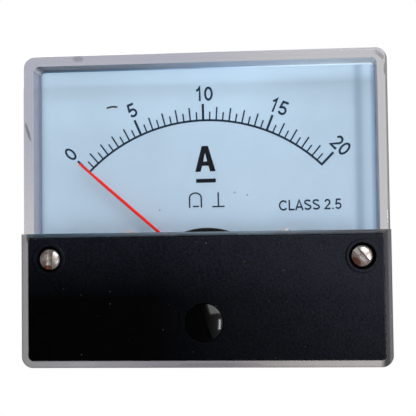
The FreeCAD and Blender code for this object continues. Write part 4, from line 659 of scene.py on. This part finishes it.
# Sans-serif letters by strokes, one unit high: (advance, list of (points, closed))
STROKE = 0.165
EDGE = STROKE / 2
GLYPHS = {
    "0": (0.78, [(arc(0.39, 0.5, 0.27, 0.5 - EDGE, 0, 345, 23), True)]),
    "1": (0.78, [([(0.18, 0.72), (0.34, 0.80), (0.46, 0.97), (0.46, 0.0)], False)]),
    "2": (0.78, [(arc(0.38, 0.68, 0.25, 0.32 - EDGE, 170, -35) + [(0.10, EDGE), (0.70, EDGE)],
                  False)]),
    "5": (0.78, [([(0.67, 1 - EDGE), (0.21, 1 - EDGE), (0.14, 0.50)]
                  + arc(0.38, 0.32, 0.27, 0.32 - EDGE, 130, -155), False)]),
    "C": (1.01, [(arc(0.52, 0.5, 0.42, 0.5 - EDGE, 38, 322, 22), False)]),
    "L": (0.78, [([(0.16, 1.0), (0.16, EDGE), (0.72, EDGE)], False)]),
    "A": (0.93, [([(0.07, 0.0), (0.465, 0.96), (0.86, 0.0)], False),
                 ([(0.22, 0.30), (0.71, 0.30)], False)]),
    "S": (0.93, [(arc(0.46, 0.74, 0.31, 0.26 - EDGE, 20, 250, 14)
                  + arc(0.46, 0.27, 0.33, 0.27 - EDGE, 75, -160, 14), False)]),
    ".": (0.39, [([(0.19, 0.0), (0.19, 0.14)], False)]),
    " ": (0.39, []),
}
# The dial's letters are narrower than the strokes above
NARROW = 0.855


def words(text, x_mm, z_mm, high_mm, lean):
    """Shapes of a line of text centred on a point."""
    total = sum(GLYPHS[letter][0] for letter in text)
    cursor = -total / 2
    shapes = []
    for letter in text:
        advance, strokes = GLYPHS[letter]
        for points, closed in strokes:
            loops = ribbon([(cursor + u, v - 0.5) for u, v in points], STROKE, closed)
            shapes.append(placed(loops, x_mm, z_mm, lean, high_mm, NARROW))
        cursor += advance
    return shapes


# The whole print sits a little turned on the dial, in degrees
PRINT_LEAN = -0.83
PRINT_PROUD_MM = 0.02
PRINT_SINK_MM = 0.02

# The scale: its base line, its divisions, and each kind of tick's length and width
BASE_RADIUS_MM = 32.5
BASE_WIDE_MM = 0.42
SPAN_DEGREES = 90.0
DIVISIONS = 40
PER_NUMERAL = 10
NUMERAL_TICK_MM = (3.25, 0.46)
LONG_TICK_MM = (2.65, 0.30)
SHORT_TICK_MM = (1.7, 0.28)

# Numerals with their angles from upright
NUMERAL_RADIUS_MM = 37.75
NUMERAL_HIGH_MM = 2.85
NUMERALS = (("0", -45.8), ("5", -22.8), ("10", -0.5), ("15", 22.5), ("20", 44.4))

# The line of text at the right
CLASS_X_MM = 20.26
CLASS_Z_MM = 3.65
CLASS_HIGH_MM = 2.07


def on_scale(degrees, radius_mm):
    """A point of the dial at an angle clockwise from upright about the pivot."""
    a = math.radians(degrees)
    return (radius_mm * math.sin(a), PIVOT_Z_MM + radius_mm * math.cos(a))


def scale_ticks():
    """The 41 ticks: longest and bold at the numerals, then long and short by turns."""
    shapes = []
    for k in range(DIVISIONS + 1):
        degrees = SPAN_DEGREES * (k / DIVISIONS - 0.5) + PRINT_LEAN
        long_mm, wide_mm = LONG_TICK_MM if k % 2 == 0 else SHORT_TICK_MM
        if k % PER_NUMERAL == 0:
            long_mm, wide_mm = NUMERAL_TICK_MM
        ends = [on_scale(degrees, BASE_RADIUS_MM), on_scale(degrees, BASE_RADIUS_MM + long_mm)]
        shapes.append(ribbon(ends, wide_mm))
    return shapes


def scale_arc():
    """The curved base line of the scale, a little longer than from end tick to end tick."""
    steps = 90
    past_degrees = 0.3
    first = PRINT_LEAN - SPAN_DEGREES / 2 - past_degrees
    last = PRINT_LEAN + SPAN_DEGREES / 2 + past_degrees
    turns = [first + (last - first) * k / steps for k in range(steps + 1)]
    return [ribbon([on_scale(a, BASE_RADIUS_MM) for a in turns], BASE_WIDE_MM)]


def numerals():
    """Plain numbers round the scale."""
    shapes = []
    for text, degrees in NUMERALS:
        x, z = on_scale(degrees, NUMERAL_RADIUS_MM)
        shapes += words(text, x, z, NUMERAL_HIGH_MM, degrees)
    return shapes


def unit_letter():
    """Bold A with the bar of direct current below it."""
    foot = (-0.15, 10.49)
    letter = [
        [(-2.02, 0), (-0.62, 5.07), (0.62, 5.07), (2.02, 0), (0.95, 0), (0.62, 1.15),
         (-0.62, 1.15), (-0.95, 0)],
        [(-0.38, 2.0), (0.38, 2.0), (0, 3.75)],
    ]
    middle = (-0.07, 8.69)
    half_bar, bar_high = 1.94, 0.78
    bar = ribbon([(-half_bar, 0), (half_bar, 0)], bar_high)
    return [placed(letter, *foot, PRINT_LEAN), placed(bar, *middle, PRINT_LEAN)]


def movement_signs():
    """Signs of a moving-coil movement and of upright use."""
    line = 0.29
    half_coil, coil_foot, coil_bend, bend_high = 1.16, -1.5, 0.45, 0.95
    coil = [(-half_coil, coil_foot), (-half_coil, coil_bend)]
    coil += arc(0, coil_bend, half_coil, bend_high, 175, 5, 12)
    coil += [(half_coil, coil_bend), (half_coil, coil_foot)]
    half_bar, half_ground, upright = 0.61, 1.22, 2.8
    coil_place, bar_place, upright_place = (-2.2, 4.89), (-2.10, 3.64), (2.34, 3.57)
    return [
        placed(ribbon(points, line), *place, PRINT_LEAN) for points, place in (
            (coil, coil_place),
            ([(-half_bar, 0), (half_bar, 0)], bar_place),
            ([(-half_ground, 0), (half_ground, 0)], upright_place),
            ([(0, 0), (0, upright)], upright_place),
        )
    ]


def dirt_marks():
    """A dark fibre and three specks that lie on the dial."""
    fibre_wide, speck_radius = 0.36, 0.13
    bends = [(-19.72, 23.49), (-19.2, 23.66), (-18.67, 23.78), (-18.1, 23.76), (-17.58, 23.66)]
    specks = [(-9.28, 3.04), (5.56, 6.29), (8.03, 5.75)]
    shapes = [ribbon(bends, fibre_wide)]
    for x, z in specks:
        shapes.append([arc(x, z, speck_radius, speck_radius, 0, 315, 7)])
    return shapes


INK = printing("dial_ink", srgb(8, 42, 62))
BOLD_INK = printing("bold_ink", srgb(4, 8, 18))
DIRT = printing("dial_dirt", srgb(56, 60, 54))


def add_print():
    """Lay the printing on the dial, a little proud of it."""
    back = DIAL_HIGH.y - PRINT_SINK_MM
    front = DIAL_HIGH.y + PRINT_PROUD_MM
    class_words = words("CLASS 2.5", CLASS_X_MM, CLASS_Z_MM, CLASS_HIGH_MM, PRINT_LEAN)
    for name, shapes, ink in (
        ("scale_ticks", scale_ticks(), INK),
        ("scale_arc", scale_arc(), INK),
        ("scale_numerals", numerals(), INK),
        ("unit_letter", unit_letter(), BOLD_INK),
        ("movement_signs", movement_signs(), INK),
        ("class_print", class_words, INK),
        ("dial_specks", dirt_marks(), DIRT),
    ):
        slab(name, shapes, ink, back, front)


add_print()


def rounded_box(low, high, grow_mm, radius_mm):
    """Outline of a box seen from the front, grown on all sides, with round corners."""
    left, right = low.x - grow_mm + radius_mm, high.x + grow_mm - radius_mm
    bottom, top = low.z - grow_mm + radius_mm, high.z + grow_mm - radius_mm
    outline = []
    for x, z, start in ((right, top, 0), (left, top, 90), (left, bottom, 180), (right, bottom, 270)):
        outline += arc(x, z, radius_mm, radius_mm, start, start + 90, 6)
    return outline


def gap_light_paint():
    """Painted light and shade of the gap round the dial, on a strip: blue, darkest at the left."""
    s = Surface("dial_gap_strip")
    # Painted shade at the left of the top, painted light towards its right
    on_top = s.ramp(s.across, [
        (-33.0, srgb(50, 92, 120)), (-17.0, srgb(84, 128, 164)), (0.0, srgb(176, 206, 232)),
        (10.0, srgb(225, 245, 255)), (27.0, srgb(235, 250, 255)),
    ])
    on_sides = s.ramp(s.across, [(-33.0, srgb(112, 126, 164)), (33.0, srgb(124, 148, 180))])
    at_top = s.span(s.height, DIAL_HIGH.z - 0.3, DIAL_HIGH.z)
    wear_and_painted_light = s.uneven(s.noise(0.4), 0.92, 1.06)
    return s.shade(Base_Color=s.times(s.mix(at_top, on_sides, on_top), wear_and_painted_light), Roughness=0.6,
                   Specular_IOR_Level=0.2)


# The strip's width, how far its front lies behind the dial's, and both outlines' corners
STRIP_WIDE_MM = 0.24
STRIP_SETBACK_MM = 0.05
STRIP_CORNER_MM = 1.0
DIAL_CORNER_MM = 0.8


def add_gap_strip():
    """A thin strip that closes the gap between the dial and the cover's walls, painted with the gap's
    shade and light.
    """
    outer = rounded_box(DIAL_LOW, DIAL_HIGH, STRIP_WIDE_MM, STRIP_CORNER_MM)
    inner = rounded_box(DIAL_LOW, DIAL_HIGH, 0.0, DIAL_CORNER_MM)
    slab("dial_gap_strip", [[outer, inner]], gap_light_paint(), DIAL_LOW.y,
         DIAL_HIGH.y - STRIP_SETBACK_MM)


add_gap_strip()


def slotted_dome(x_mm, z_mm, radius_mm, base_mm, side_mm, crown_mm, slot_wide_mm, slot_deep_mm, lean):
    """Closed round head with a low dome, and a slot whose top leans left by some degrees.

    Rows of points run along the slot. The slot's two edges have two rows each, one on the
    dome and one at the slot's bottom.
    """
    rise = crown_mm - side_mm
    bend = (radius_mm ** 2 + rise ** 2) / (2 * rise)
    half_slot = slot_wide_mm / 2
    rows_beside = 14
    steps_along = 28
    # The outermost row is short and the innermost lies at the slot's edge
    first_turn = 0.03
    last_turn = math.acos(half_slot / radius_mm)
    turns = [first_turn + (last_turn - first_turn) * k / rows_beside for k in range(rows_beside + 1)]
    offsets = [radius_mm * math.cos(turn) for turn in turns]
    rows = [(-d, False) for d in offsets] + [(-half_slot, True), (half_slot, True)]
    rows += [(d, False) for d in reversed(offsets)]
    a = math.radians(lean)
    top = []
    bottom = []
    for d, sunk in rows:
        reach = math.sqrt(radius_mm ** 2 - d ** 2)
        for k in range(steps_along + 1):
            u = reach * math.sin(math.pi * (k / steps_along - 0.5))
            level = crown_mm - bend + math.sqrt(bend ** 2 - d ** 2 - u ** 2)
            if sunk:
                level = min(level, crown_mm - slot_deep_mm)
            x = x_mm + d * math.cos(a) - u * math.sin(a)
            z = z_mm + d * math.sin(a) + u * math.cos(a)
            top.append(metres(x, level, z))
            bottom.append(metres(x, base_mm, z))
    count = steps_along + 1
    below = len(top)
    faces = []
    for i in range(len(rows) - 1):
        for k in range(steps_along):
            here = i * count + k
            faces.append((here, here + 1, here + count + 1, here + count))
            faces.append(tuple(below + v for v in (here, here + count, here + count + 1, here + 1)))
        for here in (i * count, i * count + steps_along):
            faces.append((here, here + count, below + here + count, below + here))
    for i in (0, len(rows) - 1):
        for k in range(steps_along):
            here = i * count + k
            faces.append((here, here + 1, below + here + 1, below + here))
    return top + bottom, faces


def turned(x_mm, z_mm, rings):
    """Closed solid skinned over rings of (forward, radius) points, evenly round one axis."""
    around = len(rings[0])
    vertices = []
    for ring in rings:
        for j, (forward, radius) in enumerate(ring):
            a = 2 * math.pi * j / around
            vertices.append(metres(x_mm + radius * math.cos(a), forward, z_mm + radius * math.sin(a)))
    faces = [tuple(range(around)), tuple(range(len(vertices) - around, len(vertices)))]
    for start in range(0, len(vertices) - around, around):
        for j in range(around):
            after = (j + 1) % around
            faces.append((start + j, start + around + j, start + around + after, start + after))
    return vertices, faces


# How finely turned and threaded pieces are divided, and a thread's depth as a share of its pitch
LATHE_POINTS = 40
THREAD_POINTS = 28
THREAD_RINGS_PER_TURN = 6
THREAD_DEPTH_SHARE = 0.6


def lathe(x_mm, z_mm, profile):
    """Closed round solid from (forward, radius) corners."""
    return turned(x_mm, z_mm, [[corner] * LATHE_POINTS for corner in profile])


def threaded_stud(x_mm, z_mm, plain, thread_from, thread_to, radius_mm, pitch_mm, bevel_mm):
    """Closed stud: plain rings (forward, radius), then a thread backward to a bevelled end."""
    depth_mm = THREAD_DEPTH_SHARE * pitch_mm
    rings = [[corner] * THREAD_POINTS for corner in plain]
    steps = int((thread_from - thread_to) / pitch_mm * THREAD_RINGS_PER_TURN)
    for k in range(steps + 1):
        forward = thread_from - (thread_from - thread_to) * k / steps
        run_in = min(1.0, (thread_from - forward) / pitch_mm)
        run_out = min(1.0, (forward - thread_to) / bevel_mm)
        limit = radius_mm - bevel_mm * (1 - run_out)
        ring = []
        for j in range(THREAD_POINTS):
            turn = ((thread_from - forward) / pitch_mm + j / THREAD_POINTS) % 1.0
            groove = abs(2 * turn - 1)
            ring.append((forward, min(limit, radius_mm - depth_mm * groove * run_in)))
        rings.append(ring)
    return turned(x_mm, z_mm, rings)


# An edge that turns by more than this stays sharp
SHARP_DEGREES = 30


def stand_in(node, ending, solids, slot, body="case"):
    """One piece of several closed solids, in place of a node's plainer ones."""
    vertices = []
    faces = []
    for more, quads in solids:
        faces += [tuple(index + len(vertices) for index in quad) for quad in quads]
        vertices += more
    made = add_piece(node + ending, vertices, faces, FINISHES[slot], body)
    turn_outward(made.data)
    made.data.shade_smooth()
    made.data.set_sharp_from_angle(angle=math.radians(SHARP_DEGREES))
    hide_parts(node)
    return made


def add_mounting_studs():
    """The four studs that hold the meter, each with a collar in the flange and a thread."""
    low, high = reach_of("mounting_studs")
    head_radius, head_high, collar_radius, thread_radius = 2.7, 1.2, 1.9, 1.5
    neck = high.y - head_high
    panel_plane = 0.0
    plain = [(high.y, head_radius), (neck, head_radius), (neck, collar_radius),
             (panel_plane, collar_radius)]
    stand_in("mounting_studs", "_threaded", [
        threaded_stud(x, z, plain, panel_plane, low.y, thread_radius, pitch_mm=0.5, bevel_mm=0.3)
        for z in (low.z + head_radius, high.z - head_radius)
        for x in (low.x + head_radius, high.x - head_radius)
    ], "zinc_steel")


def add_terminal_studs():
    """The two terminals' threaded studs with their flat heads inside the barrel."""
    low, high = reach_of("terminal_studs")
    head_radius, head_high, thread_radius = 4.2, 2.0, 2.0
    neck = high.y - head_high
    plain = [(high.y, head_radius), (neck, head_radius)]
    stand_in("terminal_studs", "_threaded", [
        threaded_stud(x, 0, plain, neck, low.y, thread_radius, pitch_mm=0.7, bevel_mm=0.3)
        for x in (low.x + head_radius, high.x - head_radius)
    ], "brass")


def add_cover_screws():
    """The two cover screws with domed heads, each with its slot at its own turn."""
    low, high = reach_of("cover_screws")
    radius = (high.z - low.z) / 2
    height = (high.z + low.z) / 2
    head_high, side_high, thread_radius = 1.24, 0.77, 1.25
    left_lean, right_lean = -4, 42
    seat = high.y - head_high
    solids = []
    for x, lean in ((low.x + radius, left_lean), (high.x - radius, right_lean)):
        solids.append(slotted_dome(
            x, height, radius, base_mm=seat, side_mm=seat + side_high, crown_mm=high.y,
            slot_wide_mm=1.0, slot_deep_mm=0.6, lean=lean))
        solids.append(threaded_stud(
            x, height, [(seat, thread_radius)], seat, low.y, thread_radius, pitch_mm=0.45,
            bevel_mm=0.2))
    stand_in("cover_screws", "_domed", solids, "nickel")


def add_adjuster():
    """The zero adjuster with its domed head, neck, snap lip and off-centre pin."""
    low, high = reach_of("zero_adjuster")
    radius = (high.z - low.z) / 2
    height = (high.z + low.z) / 2
    head_back, side_front = 10.7, 12.35
    neck_radius, lip_radius, lip_front, lip_back = 2.2, 2.7, 8.7, 8.2
    pin_radius, pin_throw = 0.5, 1.1
    head = slotted_dome(
        0, height, radius, base_mm=head_back, side_mm=side_front, crown_mm=high.y,
        slot_wide_mm=0.9, slot_deep_mm=0.75, lean=20)
    neck = lathe(0, height, [
        (head_back, neck_radius), (lip_front, neck_radius), (lip_front, lip_radius),
        (lip_back, neck_radius),
    ])
    pin = lathe(0, height + pin_throw, [(lip_back, pin_radius), (low.y, pin_radius)])
    stand_in("zero_adjuster", "_domed", [head, neck, pin], "black_gloss", "zero_adjuster")


add_mounting_studs()
add_terminal_studs()
add_cover_screws()
add_adjuster()


# Stage, light and camera

def add_floor():
    """A plain pale floor well below the meter."""
    half_wide, front, back, level = 0.45, -0.10, 0.60, -0.25
    corners = [(-half_wide, front, level), (half_wide, front, level), (half_wide, back, level),
               (-half_wide, back, level)]
    mesh = bpy.data.meshes.new("floor")
    mesh.from_pydata(corners, [], [(0, 1, 2, 3)])
    s = Surface("floor_paint")
    mottle = s.uneven(s.noise(0.01), 0.0, 1.0)
    pale = s.mix(mottle, (0.86, 0.86, 0.86, 1.0), (0.88, 0.88, 0.88, 1.0))
    mesh.materials.append(s.shade(Base_Color=pale, Roughness=0.9, Specular_IOR_Level=0.1))
    floor = bpy.data.objects.new("floor", mesh)
    bpy.context.scene.collection.objects.link(floor)


def add_lamp(name, place, size, watts, colour):
    """A soft square lamp aimed at the meter, not seen by the camera or through the cover."""
    data = bpy.data.lights.new(name, "AREA")
    data.shape = "RECTANGLE"
    data.size, data.size_y = size
    data.energy = watts
    data.color = colour
    lamp = bpy.data.objects.new(name, data)
    lamp.location = place
    lamp.rotation_mode = "QUATERNION"
    lamp.rotation_quaternion = (-Vector(place)).to_track_quat("-Z", "Y")
    lamp.visible_camera = False
    lamp.visible_transmission = False
    bpy.context.scene.collection.objects.link(lamp)


def add_world():
    """An even low light on dull surfaces, and white where the camera looks.

    Glossy surfaces mirror white from behind, grey from the right and little from the front. What
    passes through the clear cover is white too, but dim where it looks straight to the front.
    """
    world = bpy.data.worlds.new("studio")
    bpy.context.scene.world = world
    world.use_nodes = True
    n = Nodes(world.node_tree)
    ray = n.add("LightPath").outputs
    way = n.add("SeparateXYZ", Vector=n.add("TexCoord").outputs["Generated"]).outputs
    from_right = n.span(way["X"], -0.15, 0.75, 0.03, 0.50, smooth=True)
    mirrored = n.span(way["Y"], -0.15, 0.35, from_right, 1.0, smooth=True)
    passed_on = n.span(way["Y"], -0.955, -0.90, 0.30, 1.0, smooth=True)
    level = n.either(ray["Is Glossy Ray"], 0.16, mirrored)
    level = n.either(ray["Is Transmission Ray"], level, passed_on)
    level = n.either(ray["Is Camera Ray"], level, 1.0)
    light = n.add("Background", Color=(1.0, 1.0, 1.0, 1.0), Strength=level)
    n.feed(n.add("OutputWorld").inputs["Surface"], light.outputs[0])


def add_camera():
    """The photograph's camera, placed from the meter's own corners and scale."""
    focal_mm, sensor_mm = 84.9, 36.0
    place = Vector((0.0165, -0.1961, -0.0056))
    ahead = Vector((-0.0842, 0.9954, 0.0462)).normalized()
    up = Vector((0.016, -0.045, 0.9989))
    right = ahead.cross(up).normalized()
    up = right.cross(ahead)
    data = bpy.data.cameras.new("camera")
    data.lens = focal_mm
    data.sensor_width = sensor_mm
    data.clip_start = 0.01
    camera = bpy.data.objects.new("camera", data)
    camera.matrix_world = Matrix.Translation(place) @ Matrix((right, up, -ahead)).transposed().to_4x4()
    bpy.context.scene.collection.objects.link(camera)
    bpy.context.scene.camera = camera


add_floor()
add_world()
add_lamp("key", place=(0.42, -0.60, 0.52), size=(0.7, 0.5), watts=4.3, colour=(1.0, 0.99, 0.97))
add_lamp("side", place=(0.385, -0.485, -0.11), size=(0.045, 0.28), watts=0.9, colour=(0.86, 0.93, 1.0))
add_lamp("rear", place=(-0.40, 0.70, 0.45), size=(0.6, 0.6), watts=4.0, colour=(1.0, 1.0, 1.0))
add_camera()

bpy.context.scene.view_settings.view_transform = "Standard"
